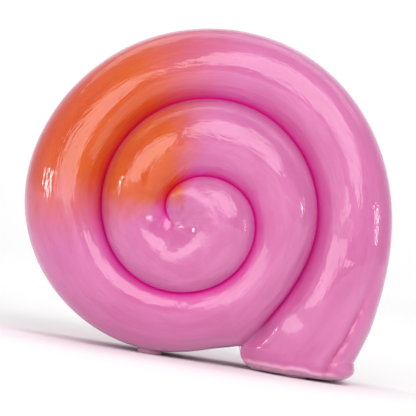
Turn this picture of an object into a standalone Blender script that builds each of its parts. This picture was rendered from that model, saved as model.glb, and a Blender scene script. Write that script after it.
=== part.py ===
"""Snail-shell tape dispenser: a glossy coiled casing that stands on its mouth and holds a roll of office tape.

Frame: metres, +Z up, the spiral face looks towards -Y, the mouth faces +X, and the origin is under the
middle of the object, on the desk. Plan points are (x, z) pairs in millimetres from the spiral's centre, and
a height is the distance from the seam plane, towards the front or towards the rear.
"""

import math

import bmesh
import bpy
from mathutils import Matrix, Vector

MM = 0.001

# Driving dimensions, in millimetres.
SEAM_Y = 3.57  # the plane where the two casings meet, also the middle of the tape
SPIRAL_X = -6.81  # the spiral's centre
SPIRAL_Z = 42.3
HUB_X = 6.3  # the tape hub, from the spiral's centre
HUB_Z = 2.6
TAPE_WIDTH = 19.0
ROLL_RADIUS = 28.5
CORE_OUTER = 14.2
CORE_INNER = 12.7
GAP = 0.3  # between pieces that touch in life
RUNNING_GAP = 0.08  # round a shaft that turns
WALL = 2.8
CAVITY_DEPTH = 13.0  # of each casing, from the seam
CAVITY_STEP = 6  # degrees between the cavity's corners

# The spiral: where a winding angle of 0 points, and the radius every 45 degrees outwards from the eye.
EYE_DIRECTION = 234.2
TURN_STEP = 45.0
SUTURE_RADII = (4.8, 5.2, 6.4, 8.3, 12.9, 19.4, 22.5, 23.3, 23.5, 23.5, 26.0, 31.2, 36.0, 38.0, 38.0)
NOTCH = (652.5, 42.0)  # winding angle and radius where the groove runs out to the rim
RIM_START = 675.0
RIM_RADII = (41.2, 43.6, 46.8, 48.3, 52.6, 58.1, 60.3)
# The rim past the last of those, down the mouth's outer wall: winding angle and radius.
MOUTH_RIM = ((955.0, 60.8), (965.0, 61.4), (975.0, 63.0), (987.0, 67.3))
MOUTH_TURNS = (945.0, 1012.5)  # winding angles at which the mouth begins and the groove is left behind
# Ends of the last sections, which round off the mouth's foot: inner point, outer point, share of the height.
FOOT_SECTIONS = (
    ((22.4, -38.4), (55.9, -38.6), 0.98),
    ((24.0, -40.4), (54.2, -40.6), 0.90),
    ((26.6, -41.9), (50.8, -41.9), 0.72),
)
# Heights of the groove's bottom: winding angle and height above the seam.
GROOVE_HEIGHTS = (
    (-13.5, 28.0),
    (180.0, 24.0),
    (360.0, 20.5),
    (540.0, 17.5),
    (630.0, 16.4),
    (643.5, 15.0),
    (652.5, 11.5),
)
RIM_HEIGHT = 11.5
RIM_INSET = 0.6  # how far the side leans in between the seam and the rim
EYE_TURN = -13.5  # winding angle where the groove begins
STEP = 9.0  # degrees between sections
ACROSS = 6  # faces across a whorl
BULGE = 0.55  # a whorl's rise as a share of its width
MOST_WIDTH = 24.0  # widest whorl that still rises in proportion

# Rear door and its hinge. Plan distances are from the hub, and heights are behind the seam.
OPENING_RADIUS = 29.6
DOOR_RADIUS = 34.0
RECESS_RADIUS = 34.4
RECESS_HEIGHT = 15.6
REAR_EDGE_HEIGHT = 17.5
DOOR_TURNS = 750.0  # winding angle at which the door's own groove reaches its edge
DOOR_STEP = 15.0
DOOR_ACROSS = 5
HINGE_X = -38.0
HINGE_HEIGHT = 17.9
HINGE_PIN_RADIUS = 0.9
KNUCKLE_RADIUS = 2.2
KNUCKLE_HALF = 4.7
MAGNET_X = 32.0
MAGNET_RADIUS = 1.5

# Turning parts.
AXLE_RADIUS = 2.5
AXLE_GROOVE = 2.0
CLIP_HEIGHT = -11.4
HUB_HALF = 9.7
FLANGE_RADIUS = 16.5

# Tape path: plan points from the spiral's centre.
ROLLER_X = 37.5
ROLLER_Z = -24.5
ROLLER_RADIUS = 4.0
TAPE_THICKNESS = 0.16
PLATFORM_TOP = -29.1
BLADE_X = 54.6
BLADE_THICKNESS = 0.5
HOLDER_HALF = 10.4
MOUTH_HALF = 10.8
MOUTH_Z = (-33.4, -8.0)

# Screws: (distance from the hub, angle) for those placed round it, plan points for the holder's.
CASING_SCREWS = ((43.0, 21.0), (39.0, 78.0), (39.0, 150.0), (39.0, 232.0))
BALLAST_SCREWS = ((34.0, 256.0), (34.0, 274.0))
HOLDER_SCREW = (44.0, -31.8)
POST_RADIUS = 3.9
COUNTERBORE_RADIUS = 3.2
SHANK_RADIUS = 1.5
HEAD_RADIUS = 2.7

# Foot pads: plan x and height of each, with the desk 42.3 below the spiral's centre.
FOOT_PADS = ((-3.6, 6.5), (-3.6, -6.5), (38.7, 9.5), (38.7, -9.5))
PAD_RADIUS = 3.6
PAD_TOP = -41.0

MATERIALS = {
    "casing": ((0.80, 0.20, 0.45), 0.12, 0.0),
    "steel": ((0.62, 0.62, 0.64), 0.25, 1.0),
    "cast_iron": ((0.12, 0.12, 0.13), 0.6, 0.8),
    "rubber": ((0.75, 0.45, 0.58), 0.7, 0.0),
    "hub_plastic": ((0.85, 0.85, 0.84), 0.4, 0.0),
    "core_card": ((0.62, 0.50, 0.36), 0.85, 0.0),
    "tape_film": ((0.86, 0.82, 0.66), 0.2, 0.0),
    "bushing": ((0.78, 0.60, 0.28), 0.3, 1.0),
    "roller": ((0.30, 0.30, 0.32), 0.45, 0.0),
    "felt": ((0.35, 0.33, 0.34), 0.95, 0.0),
    "magnet": ((0.70, 0.70, 0.72), 0.2, 1.0),
}


# ---------------------------------------------------------------- helpers


def clear_scene():
    for old in list(bpy.data.objects):
        bpy.data.objects.remove(old)


def material(name):
    """The named material, made once."""
    made = bpy.data.materials.get(name)
    if made:
        return made
    colour, roughness, metallic = MATERIALS[name]
    made = bpy.data.materials.new(name)
    made.use_nodes = True
    shader = made.node_tree.nodes["Principled BSDF"]
    shader.inputs["Base Color"].default_value = (*colour, 1.0)
    shader.inputs["Roughness"].default_value = roughness
    shader.inputs["Metallic"].default_value = metallic
    return made


def place(x, z, height):
    """World position, in metres, of a plan point at a height in front of the seam (negative is behind it)."""
    return Vector(((SPIRAL_X + x) * MM, (SEAM_Y - height) * MM, (SPIRAL_Z + z) * MM))


def new_object(name, mesh_source, slot):
    """A named object from a bmesh, with smooth shading broken at sharp edges."""
    mesh = bpy.data.meshes.new(name)
    mesh_source.to_mesh(mesh)
    mesh_source.free()
    mesh.shade_smooth()
    mesh.set_sharp_from_angle(angle=math.radians(40))
    made = bpy.data.objects.new(name, mesh)
    made.data.materials.append(material(slot))
    bpy.context.scene.collection.objects.link(made)
    return made


def hinged_on(obj, axis_point):
    """Moves an object's origin onto its joint's axis, leaving its shape where it is."""
    obj.data.transform(Matrix.Translation(-axis_point))
    obj.location = axis_point
    return obj


def cutter(name, mesh_source):
    made = new_object(name, mesh_source, "steel")
    made.hide_render = True
    made.display_type = "WIRE"
    return made


def boolean(target, other, operation="DIFFERENCE", solver="EXACT"):
    change = target.modifiers.new(other.name, "BOOLEAN")
    change.operation = operation
    change.solver = solver
    change.object = other


def carve(casing, other, operation="DIFFERENCE"):
    """A Boolean for the casings, whose long chains of cuts the exact solver leaves open."""
    boolean(casing, other, operation, "MANIFOLD")


def merged(*sources):
    """One bmesh holding several that stand clear of one another."""
    made = bmesh.new()
    for source in sources:
        held = bpy.data.meshes.new("held")
        source.to_mesh(held)
        source.free()
        made.from_mesh(held)
        bpy.data.meshes.remove(held)
    return made


def along_y(x, z):
    """Axis through a plan point, running from rear to front."""
    return lambda u, v, along: place(x + u, z + v, along)


def along_x(z, height):
    """Axis running towards the mouth's side."""
    return lambda u, v, along: place(along, z + v, height + u)


def along_z(x, height):
    """Upright axis."""
    return lambda u, v, along: place(x + u, along, height + v)


def hexagon_factor(angle):
    return math.cos(math.pi / 6) / math.cos(angle % (math.pi / 3) - math.pi / 6)


def turned(profile, axis, segments=24):
    """A solid turned about an axis. The profile holds (radius, distance along), and a third entry makes that
    corner six-sided. A profile that begins and ends on the axis is closed there, and any other is a ring."""
    made = bmesh.new()
    solid = profile[0][0] == 0.0
    poles = [made.verts.new(axis(0.0, 0.0, p[1])) for p in (profile[0], profile[-1])] if solid else []
    corners = profile[1:-1] if solid else profile
    loops = []
    for k in range(segments):
        angle = 2 * math.pi * k / segments
        loop = []
        for radius, along, *six_sided in corners:
            r = radius * hexagon_factor(angle) if six_sided else radius
            loop.append(made.verts.new(axis(r * math.cos(angle), r * math.sin(angle), along)))
        loops.append(loop)
    for k in range(segments):
        here, there = loops[k], loops[(k + 1) % segments]
        for j in range(len(corners) - 1):
            made.faces.new((here[j], here[j + 1], there[j + 1], there[j]))
        if solid:
            made.faces.new((poles[0], here[0], there[0]))
            made.faces.new((poles[1], there[-1], here[-1]))
        else:
            made.faces.new((here[-1], here[0], there[0], there[-1]))
    bmesh.ops.recalc_face_normals(made, faces=made.faces)
    return made


def rod(radius, start, end, axis, segments=16):
    return turned([(0.0, start), (radius, start), (radius, end), (0.0, end)], axis, segments)


def ring(inner, outer, start, end, axis, segments=36):
    return turned([(inner, start), (outer, start), (outer, end), (inner, end)], axis, segments)


def slab(points, front, rear):
    """An extruded outline: plan points joined in order, between two heights."""
    made = bmesh.new()
    loops = [[made.verts.new(place(x, z, h)) for x, z in points] for h in (front, rear)]
    made.faces.new(loops[0])
    made.faces.new(loops[1])
    count = len(points)
    for k in range(count):
        n = (k + 1) % count
        made.faces.new((loops[0][k], loops[0][n], loops[1][n], loops[1][k]))
    bmesh.ops.recalc_face_normals(made, faces=made.faces)
    return made


def block(x, z, height):
    """A box from (low, high) pairs of plan x, plan z and height."""
    corners = [(x[0], z[0]), (x[1], z[0]), (x[1], z[1]), (x[0], z[1])]
    return slab(corners, height[1], height[0])


def curve_through(knots, at):
    """Smooth cubic through (position, value) knots, with slopes from each knot's neighbours."""
    if at <= knots[0][0]:
        return knots[0][1]
    if at >= knots[-1][0]:
        return knots[-1][1]
    k = max(i for i in range(len(knots) - 1) if knots[i][0] <= at)

    def slope(i):
        a, b = knots[max(i - 1, 0)], knots[min(i + 1, len(knots) - 1)]
        return (b[1] - a[1]) / (b[0] - a[0])

    (p0, v0), (p1, v1) = knots[k], knots[k + 1]
    span = p1 - p0
    t = (at - p0) / span
    return (
        (2 * t**3 - 3 * t**2 + 1) * v0
        + (t**3 - 2 * t**2 + t) * span * slope(k)
        + (3 * t**2 - 2 * t**3) * v1
        + (t**3 - t**2) * span * slope(k + 1)
    )


SUTURE = [(EYE_TURN, 5.6)] + [(TURN_STEP * k, r) for k, r in enumerate(SUTURE_RADII)] + [NOTCH]
RIM = [NOTCH, (664.0, 40.8)] + [(RIM_START + TURN_STEP * k, r) for k, r in enumerate(RIM_RADII)]
RIM += list(MOUTH_RIM)


def polar(turn, radius):
    angle = math.radians(EYE_DIRECTION - turn)
    return radius * math.cos(angle), radius * math.sin(angle)


def groove_point(turn):
    return polar(turn, curve_through(SUTURE, turn))


def rim_point(turn):
    """A point of the rim. Down the mouth the rim falls behind the groove, so the sections fan out."""
    start, end = MOUTH_TURNS
    if turn > start:
        turn = start + (turn - start) * (MOUTH_RIM[-1][0] - start) / (end - start)
    return polar(turn, curve_through(RIM, turn))


def mixed(a, b, share):
    return tuple(p + (q - p) * share for p, q in zip(a, b))


def arch(share, lean_in):
    """Position across a whorl and rise above its chord, for a share of the arc from the groove outwards.

    lean_in is the angle on the arc at which the whorl comes out from under its inner neighbour.
    """
    angle = lean_in + (math.pi - lean_in) * share
    across = (math.cos(lean_in) - math.cos(angle)) / (math.cos(lean_in) + 1)
    return across, math.sin(angle) - math.sin(lean_in) * (1 - across)


def lean_at(turn):
    """A whorl starts flat where the groove begins, and steep along the rest of it."""
    fade = min(max((turn - 345.0) / 90.0, 0.0), 1.0)
    return math.radians(80 - 42 * fade)


def section(turn, inner, outer, inner_height, outer_height, shrink=1.0):
    """Points across a whorl between its two edges, both left out."""
    width = min(math.dist(inner, outer), MOST_WIDTH)
    found = []
    for j in range(1, ACROSS):
        across, rise = arch(j / ACROSS, lean_at(turn))
        chord = inner_height + (outer_height - inner_height) * across
        height = (chord + BULGE * width * rise) * shrink
        found.append((*mixed(inner, outer, across), height))
    return found


def front_boundary():
    """The plan outline, clockwise from the notch: round the rim, down the mouth, along the foot and back."""
    turns = [NOTCH[0] + STEP * k for k in range(1, 1 + round(360 / STEP))]
    loop = [rim_point(t) for t in turns]
    loop += [outer for _, outer, _ in FOOT_SECTIONS]
    last_inner, last_outer, _ = FOOT_SECTIONS[-1]
    lean = lean_at(MOUTH_TURNS[1])
    loop += [mixed(last_inner, last_outer, arch(j / ACROSS, lean)[0]) for j in range(ACROSS - 1, 0, -1)]
    loop += [inner for inner, _, _ in reversed(FOOT_SECTIONS)]
    loop.append(groove_point(NOTCH[0]))
    return loop


def inward(point, by):
    """The plan point moved towards the hub."""
    dx, dz = point[0] - HUB_X, point[1] - HUB_Z
    far = math.hypot(dx, dz)
    return HUB_X + dx * (far - by) / far, HUB_Z + dz * (far - by) / far


def whorled_half(made):
    """The front casing's outer form as a closed solid: spiral face, leaning side and flat seam."""
    per_turn = round(360 / STEP)
    notch_index = round((NOTCH[0] - EYE_TURN) / STEP)
    last = notch_index + per_turn
    eye = made.verts.new(place(*groove_point(EYE_TURN), curve_through(GROOVE_HEIGHTS, EYE_TURN)))
    edge, rows = {0: eye}, {}
    boundary = []
    for k in range(1, last + 1):
        turn = EYE_TURN + STEP * k
        on_rim = k > notch_index
        outer = rim_point(turn) if on_rim else groove_point(turn)
        outer_height = RIM_HEIGHT if on_rim else curve_through(GROOVE_HEIGHTS, turn)
        inner_turn = max(turn - 360, EYE_TURN)
        inner, inner_height = groove_point(inner_turn), curve_through(GROOVE_HEIGHTS, inner_turn)
        top = inward(outer, RIM_INSET) if on_rim else outer
        edge[k] = made.verts.new(place(*top, outer_height))
        middle = section(turn, inner, top, inner_height, outer_height)
        inner_vert = edge[max(k - per_turn, 0)]
        rows[k] = [inner_vert] + [made.verts.new(place(*p)) for p in middle] + [edge[k]]
        if on_rim:
            boundary.append((edge[k], outer))
    # The mouth's foot, past the notch: both ends of each section are free.
    for n, (inner, outer, shrink) in enumerate(FOOT_SECTIONS):
        k = last + 1 + n
        top = inward(outer, RIM_INSET)
        middle = section(MOUTH_TURNS[1], inner, top, RIM_HEIGHT, RIM_HEIGHT, shrink)
        ends = [made.verts.new(place(*p, RIM_HEIGHT * shrink)) for p in (inner, top)]
        rows[k] = [ends[0]] + [made.verts.new(place(*p)) for p in middle] + [ends[1]]
        boundary.append((ends[1], outer))
    last_row = rows[last + len(FOOT_SECTIONS)]
    inner, outer, _ = FOOT_SECTIONS[-1]
    for j in range(ACROSS - 1, 0, -1):
        across = arch(j / ACROSS, lean_at(MOUTH_TURNS[1]))[0]
        boundary.append((last_row[j], mixed(inner, outer, across)))
    for n in range(len(FOOT_SECTIONS) - 1, -1, -1):
        boundary.append((rows[last + 1 + n][0], FOOT_SECTIONS[n][0]))
    boundary.append((edge[notch_index], groove_point(NOTCH[0])))
    rows[0] = [eye] * (ACROSS + 1)
    for k in range(last + len(FOOT_SECTIONS)):
        for j in range(ACROSS):
            corners = [rows[k][j], rows[k][j + 1], rows[k + 1][j + 1], rows[k + 1][j]]
            corners = list(dict.fromkeys(corners))
            if len(corners) > 2:
                made.faces.new(corners)
    side_and_seam(made, boundary)
    return made


def side_and_seam(made, boundary, facing=1):
    """Closes a half from its boundary vertices down to the seam. facing is 1 in front and -1 behind."""
    middle = [made.verts.new(place(*inward(p, RIM_INSET * 0.25), facing * 5.5)) for _, p in boundary]
    seam = [made.verts.new(place(*p, facing * GAP / 2)) for _, p in boundary]
    tops = [v for v, _ in boundary]
    count = len(boundary)
    for upper, lower in ((tops, middle), (middle, seam)):
        for k in range(count):
            n = (k + 1) % count
            made.faces.new((upper[k], upper[n], lower[n], lower[k]))
    made.faces.new(seam)
    bmesh.ops.triangulate(made, faces=[f for f in made.faces if len(f.verts) > 4])
    bmesh.ops.recalc_face_normals(made, faces=made.faces)


def steady_angles(outline):
    """Each point's angle about the hub, in degrees, averaged with its neighbours so that they stay in order."""
    angles = []
    for x, z in outline:
        angle = math.degrees(math.atan2(z - HUB_Z, x - HUB_X))
        while angles and angle > angles[-1] + 180:
            angle -= 360
        angles.append(angle)
    count = len(angles)
    around = 4
    steady = []
    for k in range(count):
        near = []
        for n in range(k - around, k + around + 1):
            near.append(angles[n % count] - 360 * (n // count))
        steady.append(sum(near) / len(near))
    return steady


def ringed_half(made):
    """The rear casing's outer form: one whorl from the door's edge to the rim, closed by a flat disc."""
    inner_radius = RECESS_RADIUS + 0.5
    outline = front_boundary()
    rows, boundary = [], []
    for point, away in zip(outline, steady_angles(outline)):
        top = inward(point, RIM_INSET)
        inner = hub_point(inner_radius, away)
        middle = section(MOUTH_TURNS[1], inner, top, REAR_EDGE_HEIGHT, RIM_HEIGHT)
        points = [(*inner, REAR_EDGE_HEIGHT)] + middle + [(*top, RIM_HEIGHT)]
        rows.append([made.verts.new(place(x, z, -h)) for x, z, h in points])
        boundary.append((rows[-1][-1], point))
    count = len(rows)
    for k in range(count):
        here, there = rows[k], rows[(k + 1) % count]
        for j in range(ACROSS):
            made.faces.new((here[j], here[j + 1], there[j + 1], there[j]))
    made.faces.new([row[0] for row in rows])
    side_and_seam(made, boundary, facing=-1)
    return made


def hub_point(radius, angle):
    """Plan point at a distance and an angle, in degrees, from the hub."""
    turn = math.radians(angle)
    return HUB_X + radius * math.cos(turn), HUB_Z + radius * math.sin(turn)


def reach(outline, angle):
    """Distance from the hub to the outline in one direction."""
    dx, dz = math.cos(math.radians(angle)), math.sin(math.radians(angle))
    nearest = math.inf
    for k, (px, pz) in enumerate(outline):
        qx, qz = outline[(k + 1) % len(outline)]
        ex, ez = qx - px, qz - pz
        cross = dx * ez - dz * ex
        if abs(cross) < 1e-9:
            continue
        away = ((px - HUB_X) * ez - (pz - HUB_Z) * ex) / cross
        share = ((px - HUB_X) * dz - (pz - HUB_Z) * dx) / cross
        if away > 0 and -1e-6 <= share <= 1 + 1e-6:
            nearest = min(nearest, away)
    return nearest


def cavity_radius(outline, angle):
    """The hollow's reach from the hub: the nearest of the outline round about, less the wall."""
    return min(reach(outline, angle + turn) for turn in (-CAVITY_STEP, 0, CAVITY_STEP)) - WALL


def cavity(facing):
    """The hollow of one casing, with its far edge chamfered."""
    outline = front_boundary()
    angles = range(0, 360, CAVITY_STEP)
    levels = ((-1.0, 0.0), (RIM_HEIGHT - 0.5, 0.0), (CAVITY_DEPTH, 2.5))
    made = bmesh.new()
    loops = []
    for height, more in levels:
        loop = []
        for angle in angles:
            x, z = hub_point(cavity_radius(outline, angle) - more, angle)
            loop.append(made.verts.new(place(x, z, facing * height)))
        loops.append(loop)
    count = len(loops[0])
    for a, b in zip(loops, loops[1:]):
        for k in range(count):
            n = (k + 1) % count
            made.faces.new((a[k], a[n], b[n], b[k]))
    made.faces.new(loops[0])
    made.faces.new(loops[-1])
    bmesh.ops.triangulate(made, faces=[f for f in made.faces if len(f.verts) > 4])
    bmesh.ops.recalc_face_normals(made, faces=made.faces)
    return made


# ---------------------------------------------------------------- casings


HUB_AXIS = along_y(HUB_X, HUB_Z)


def mouth_opening():
    """The tape's mouth: a rounded window through the mouth's outer wall, across both casings."""
    low, high = MOUTH_Z
    corner = 5.0
    window = []
    for u, v, start in ((1, 1, 0), (-1, 1, 90), (-1, -1, 180), (1, -1, 270)):
        middle = (u * (MOUTH_HALF - corner), (high - corner) if v > 0 else (low + corner))
        radius = corner if v > 0 else 0.0
        for k in range(5 if v > 0 else 1):
            turn = math.radians(start + 22.5 * k)
            if v > 0:
                window.append((middle[0] + radius * math.cos(turn), middle[1] + radius * math.sin(turn)))
            else:
                window.append((u * MOUTH_HALF, low))
    made = bmesh.new()
    loops = [[made.verts.new(place(x, z, h)) for h, z in window] for x in (47.0, 70.0)]
    made.faces.new(loops[0])
    made.faces.new(loops[1])
    for k in range(len(window)):
        n = (k + 1) % len(window)
        made.faces.new((loops[0][k], loops[0][n], loops[1][n], loops[1][k]))
    bmesh.ops.recalc_face_normals(made, faces=made.faces)
    return made


def pad_recess(facing):
    """Shallow round seats for the two foot pads of one casing."""
    seats = [
        rod(PAD_RADIUS + GAP, -50.0, PAD_TOP + GAP, along_z(x, h)) for x, h in FOOT_PADS if h * facing > 0
    ]
    return merged(*seats)


def casing_posts(facing):
    """Screw posts of one casing, reaching from the hollow's floor to just short of the seam."""
    posts = []
    for radius, angle in CASING_SCREWS:
        start, end = sorted((facing * (GAP / 2 + 0.1), facing * (CAVITY_DEPTH + 1.0)))
        posts.append(rod(POST_RADIUS, start, end, along_y(*hub_point(radius, angle)), 14))
    return posts


def build_front_casing():
    front = new_object("front_casing", whorled_half(bmesh.new()), "casing")
    carve(front, cutter("front_cavity", cavity(1)))
    boss = rod(9.0, 11.2, CAVITY_DEPTH + 1.0, HUB_AXIS)
    carve(front, cutter("front_posts", merged(boss, *casing_posts(1))), "UNION")
    carve(front, cutter("front_mouth", mouth_opening()))
    holes = [rod(AXLE_RADIUS + GAP, 9.0, 19.3, HUB_AXIS)]
    for radius, angle in CASING_SCREWS:
        holes.append(rod(SHANK_RADIUS + GAP, -1.0, 10.3, along_y(*hub_point(radius, angle)), 12))
    for radius, angle in BALLAST_SCREWS:
        holes.append(rod(SHANK_RADIUS + GAP, 9.0, 16.3, along_y(*hub_point(radius, angle)), 12))
    holes.append(rod(SHANK_RADIUS + GAP, 9.0, 16.3, along_y(*HOLDER_SCREW), 12))
    carve(front, cutter("front_holes", merged(*holes)))
    carve(front, cutter("front_pad_seats", pad_recess(1)))


def build_rear_casing():
    rear = new_object("rear_casing", ringed_half(bmesh.new()), "casing")
    carve(rear, cutter("rear_cavity", cavity(-1)))
    carve(rear, cutter("rear_posts", merged(*casing_posts(-1))), "UNION")
    carve(rear, cutter("rear_mouth", mouth_opening()))
    opening = [
        (0.0, -5.0),
        (OPENING_RADIUS, -5.0),
        (OPENING_RADIUS, -RECESS_HEIGHT),
        (RECESS_RADIUS, -RECESS_HEIGHT),
        (RECESS_RADIUS, -40.0),
        (0.0, -40.0),
    ]
    carve(rear, cutter("door_opening", turned(opening, HUB_AXIS, 48)))
    holes = []
    for radius, angle in CASING_SCREWS:
        bore = [
            (0.0, 1.0),
            (SHANK_RADIUS + GAP, 1.0),
            (SHANK_RADIUS + GAP, -9.0),
            (COUNTERBORE_RADIUS, -9.0),
            (COUNTERBORE_RADIUS, -40.0),
            (0.0, -40.0),
        ]
        holes.append(turned(bore, along_y(*hub_point(radius, angle)), 16))
    magnet_axis = along_y(HUB_X + MAGNET_X, HUB_Z)
    holes.append(rod(MAGNET_RADIUS + 0.15, -14.0, -20.0, magnet_axis, 16))
    carve(rear, cutter("rear_holes", merged(*holes)))
    pocket_x = (HUB_X + HINGE_X - KNUCKLE_RADIUS - 0.5, HUB_X - RECESS_RADIUS + 1.0)
    pocket_z = (HUB_Z - KNUCKLE_HALF - 0.4, HUB_Z + KNUCKLE_HALF + 0.4)
    carve(rear, cutter("hinge_pocket", block(pocket_x, pocket_z, (-40.0, -15.2))))
    pin_axis = along_z(HUB_X + HINGE_X, -HINGE_HEIGHT)
    carve(rear, cutter("hinge_bore", rod(HINGE_PIN_RADIUS + 0.2, HUB_Z - 8.0, HUB_Z + 8.0, pin_axis, 12)))
    scoop = bmesh.new()
    bmesh.ops.create_icosphere(scoop, subdivisions=2, radius=7.0 * MM)
    bmesh.ops.translate(scoop, vec=place(HUB_X + 38.0, HUB_Z, -23.0), verts=scoop.verts)
    carve(rear, cutter("finger_scoop", scoop))
    carve(rear, cutter("rear_pad_seats", pad_recess(-1)))


# ---------------------------------------------------------------- rear door


def door_groove(turn):
    """Plan point, from the hub, of the door's own groove, which reaches the edge at the last turn."""
    share = min(turn / DOOR_TURNS, 1.0)
    radius = 4.5 * (DOOR_RADIUS / 4.5) ** share
    angle = math.radians(20.0 - turn)
    return HUB_X + radius * math.cos(angle), HUB_Z + radius * math.sin(angle)


def door_height(turn):
    return 21.5 - 3.7 * min(turn / DOOR_TURNS, 1.0)


def coiled_disc():
    """The door's disc: flat inside, with a coil outside that dies out where its groove meets the edge."""
    per_turn = round(360 / DOOR_STEP)
    last = round(DOOR_TURNS / DOOR_STEP)
    made = bmesh.new()
    edge = [made.verts.new(place(*door_groove(0), -door_height(0)))]
    rows = [[edge[0]] * (DOOR_ACROSS + 1)]
    for k in range(1, last + per_turn + 1):
        turn = DOOR_STEP * k
        outer, height = door_groove(turn), door_height(turn)
        if k == last + per_turn:
            rows.append([edge[last]] * (DOOR_ACROSS + 1))
            break
        edge.append(made.verts.new(place(*outer, -height)))
        start = max(k - per_turn, 0)
        inner, inner_height = door_groove(start * DOOR_STEP), door_height(start * DOOR_STEP)
        width = math.dist(inner, outer)
        row = [edge[start]]
        for j in range(1, DOOR_ACROSS):
            across, rise = arch(j / DOOR_ACROSS, math.radians(50))
            chord = inner_height + (height - inner_height) * across
            row.append(made.verts.new(place(*mixed(inner, outer, across), -(chord + 0.36 * width * rise))))
        rows.append(row + [edge[k]])
    for here, there in zip(rows, rows[1:]):
        for j in range(DOOR_ACROSS):
            corners = list(dict.fromkeys([here[j], here[j + 1], there[j + 1], there[j]]))
            if len(corners) > 2:
                made.faces.new(corners)
    rim = edge[last : last + per_turn]
    base = []
    for k in range(per_turn):
        x, z = door_groove(DOOR_TURNS + DOOR_STEP * k)
        base.append(made.verts.new(place(x, z, -RECESS_HEIGHT - GAP)))
    for k in range(per_turn):
        n = (k + 1) % per_turn
        made.faces.new((rim[k], rim[n], base[n], base[k]))
    made.faces.new(base)
    bmesh.ops.triangulate(made, faces=[f for f in made.faces if len(f.verts) > 4])
    bmesh.ops.recalc_face_normals(made, faces=made.faces)
    return made


def build_door():
    hinge_line = place(HUB_X + HINGE_X, HUB_Z, -HINGE_HEIGHT)
    door = new_object("rear_door", coiled_disc(), "casing")
    pin_axis = along_z(HUB_X + HINGE_X, -HINGE_HEIGHT)
    low, high = HUB_Z - KNUCKLE_HALF, HUB_Z + KNUCKLE_HALF
    arm_x = (HUB_X + HINGE_X + 0.1, HUB_X - DOOR_RADIUS + 3.0)
    arm_height = (-HINGE_HEIGHT - 0.1, -RECESS_HEIGHT - GAP - 0.1)
    boolean(door, cutter("door_arm", block(arm_x, (low + 0.1, high - 0.1), arm_height)), "UNION")
    boolean(door, cutter("door_knuckle", rod(KNUCKLE_RADIUS, low, high, pin_axis, 20)), "UNION")
    bore = rod(HINGE_PIN_RADIUS + RUNNING_GAP, low - 1.0, high + 1.0, pin_axis, 12)
    boolean(door, cutter("door_bore", bore))
    seat = rod(MAGNET_RADIUS + 0.15, -10.0, -RECESS_HEIGHT - GAP - 1.3, along_y(HUB_X + MAGNET_X, HUB_Z), 16)
    boolean(door, cutter("door_magnet_seat", seat))
    pin = new_object("hinge_pin", rod(HINGE_PIN_RADIUS, HUB_Z - 7.7, HUB_Z + 7.7, pin_axis, 12), "steel")
    magnet_axis = along_y(HUB_X + MAGNET_X, HUB_Z)
    inner = rod(MAGNET_RADIUS, -RECESS_HEIGHT - GAP - 1.15, -RECESS_HEIGHT - GAP - 0.05, magnet_axis, 16)
    door_magnet = new_object("door_magnet", inner, "magnet")
    fixed = rod(MAGNET_RADIUS, -RECESS_HEIGHT + 0.05, -14.15, magnet_axis, 16)
    new_object("casing_magnet", fixed, "magnet")
    # The door's modifiers use world positions, so its origin moves by parenting to the hinge line.
    hinge = bpy.data.objects.new("door_hinge", None)
    hinge.location = hinge_line
    bpy.context.scene.collection.objects.link(hinge)
    for piece in (door, door_magnet):
        piece.parent = hinge
        piece.matrix_parent_inverse = Matrix.Translation(-hinge_line)
    return pin


# ---------------------------------------------------------------- turning parts


def build_axle():
    low = -12.6
    profile = [
        (0.0, 19.0),
        (AXLE_RADIUS - 0.4, 19.0),
        (AXLE_RADIUS, 18.6),
        (AXLE_RADIUS, CLIP_HEIGHT + 0.5),
        (AXLE_GROOVE, CLIP_HEIGHT + 0.5),
        (AXLE_GROOVE, CLIP_HEIGHT - 0.5),
        (AXLE_RADIUS, CLIP_HEIGHT - 0.5),
        (AXLE_RADIUS - 0.3, low),
        (0.0, low),
    ]
    new_object("axle", turned(profile, HUB_AXIS, 24), "steel")


def build_clip():
    """Open snap ring in the axle's groove."""
    outer = [hub_point(4.4, 35 + 290 * k / 14) for k in range(15)]
    inner = [hub_point(AXLE_GROOVE + 0.12, 325 - 290 * k / 14) for k in range(15)]
    new_object("axle_clip", slab(outer + inner, CLIP_HEIGHT + 0.3, CLIP_HEIGHT - 0.3), "steel")


def spinning(name, source, slot):
    return hinged_on(new_object(name, source, slot), place(HUB_X, HUB_Z, 0.0))


def build_roll():
    half = TAPE_WIDTH / 2
    new_object("felt_washer", ring(3.0, 7.5, 10.3, 11.0, HUB_AXIS, 32), "felt")
    hub = [
        (5.2, HUB_HALF),
        (FLANGE_RADIUS, HUB_HALF + 0.3),
        (FLANGE_RADIUS, HUB_HALF - 0.7 + 0.3),
        (CORE_INNER - GAP, HUB_HALF - 0.7 + 0.3),
        (CORE_INNER - GAP, -HUB_HALF + 0.8),
        (CORE_INNER - GAP - 0.7, -HUB_HALF),
        (11.0, -HUB_HALF),
        (11.0, 1.0),
        (7.0, 1.0),
        (7.0, -HUB_HALF),
        (5.2, -HUB_HALF),
    ]
    spinning("tape_hub", turned(hub, HUB_AXIS, 36), "hub_plastic")
    bushing = ring(AXLE_RADIUS + RUNNING_GAP, 5.0, HUB_HALF + 0.2, -HUB_HALF - 0.9, HUB_AXIS, 24)
    spinning("hub_bushing", bushing, "bushing")
    spinning("tape_core", ring(CORE_INNER, CORE_OUTER, half - 0.3, -half, HUB_AXIS), "core_card")
    roll = ring(CORE_OUTER + 0.1, ROLL_RADIUS, half - 0.3, -half, HUB_AXIS, 48)
    spinning("tape_roll", roll, "tape_film")


# ---------------------------------------------------------------- tape guide and cutter


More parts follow.
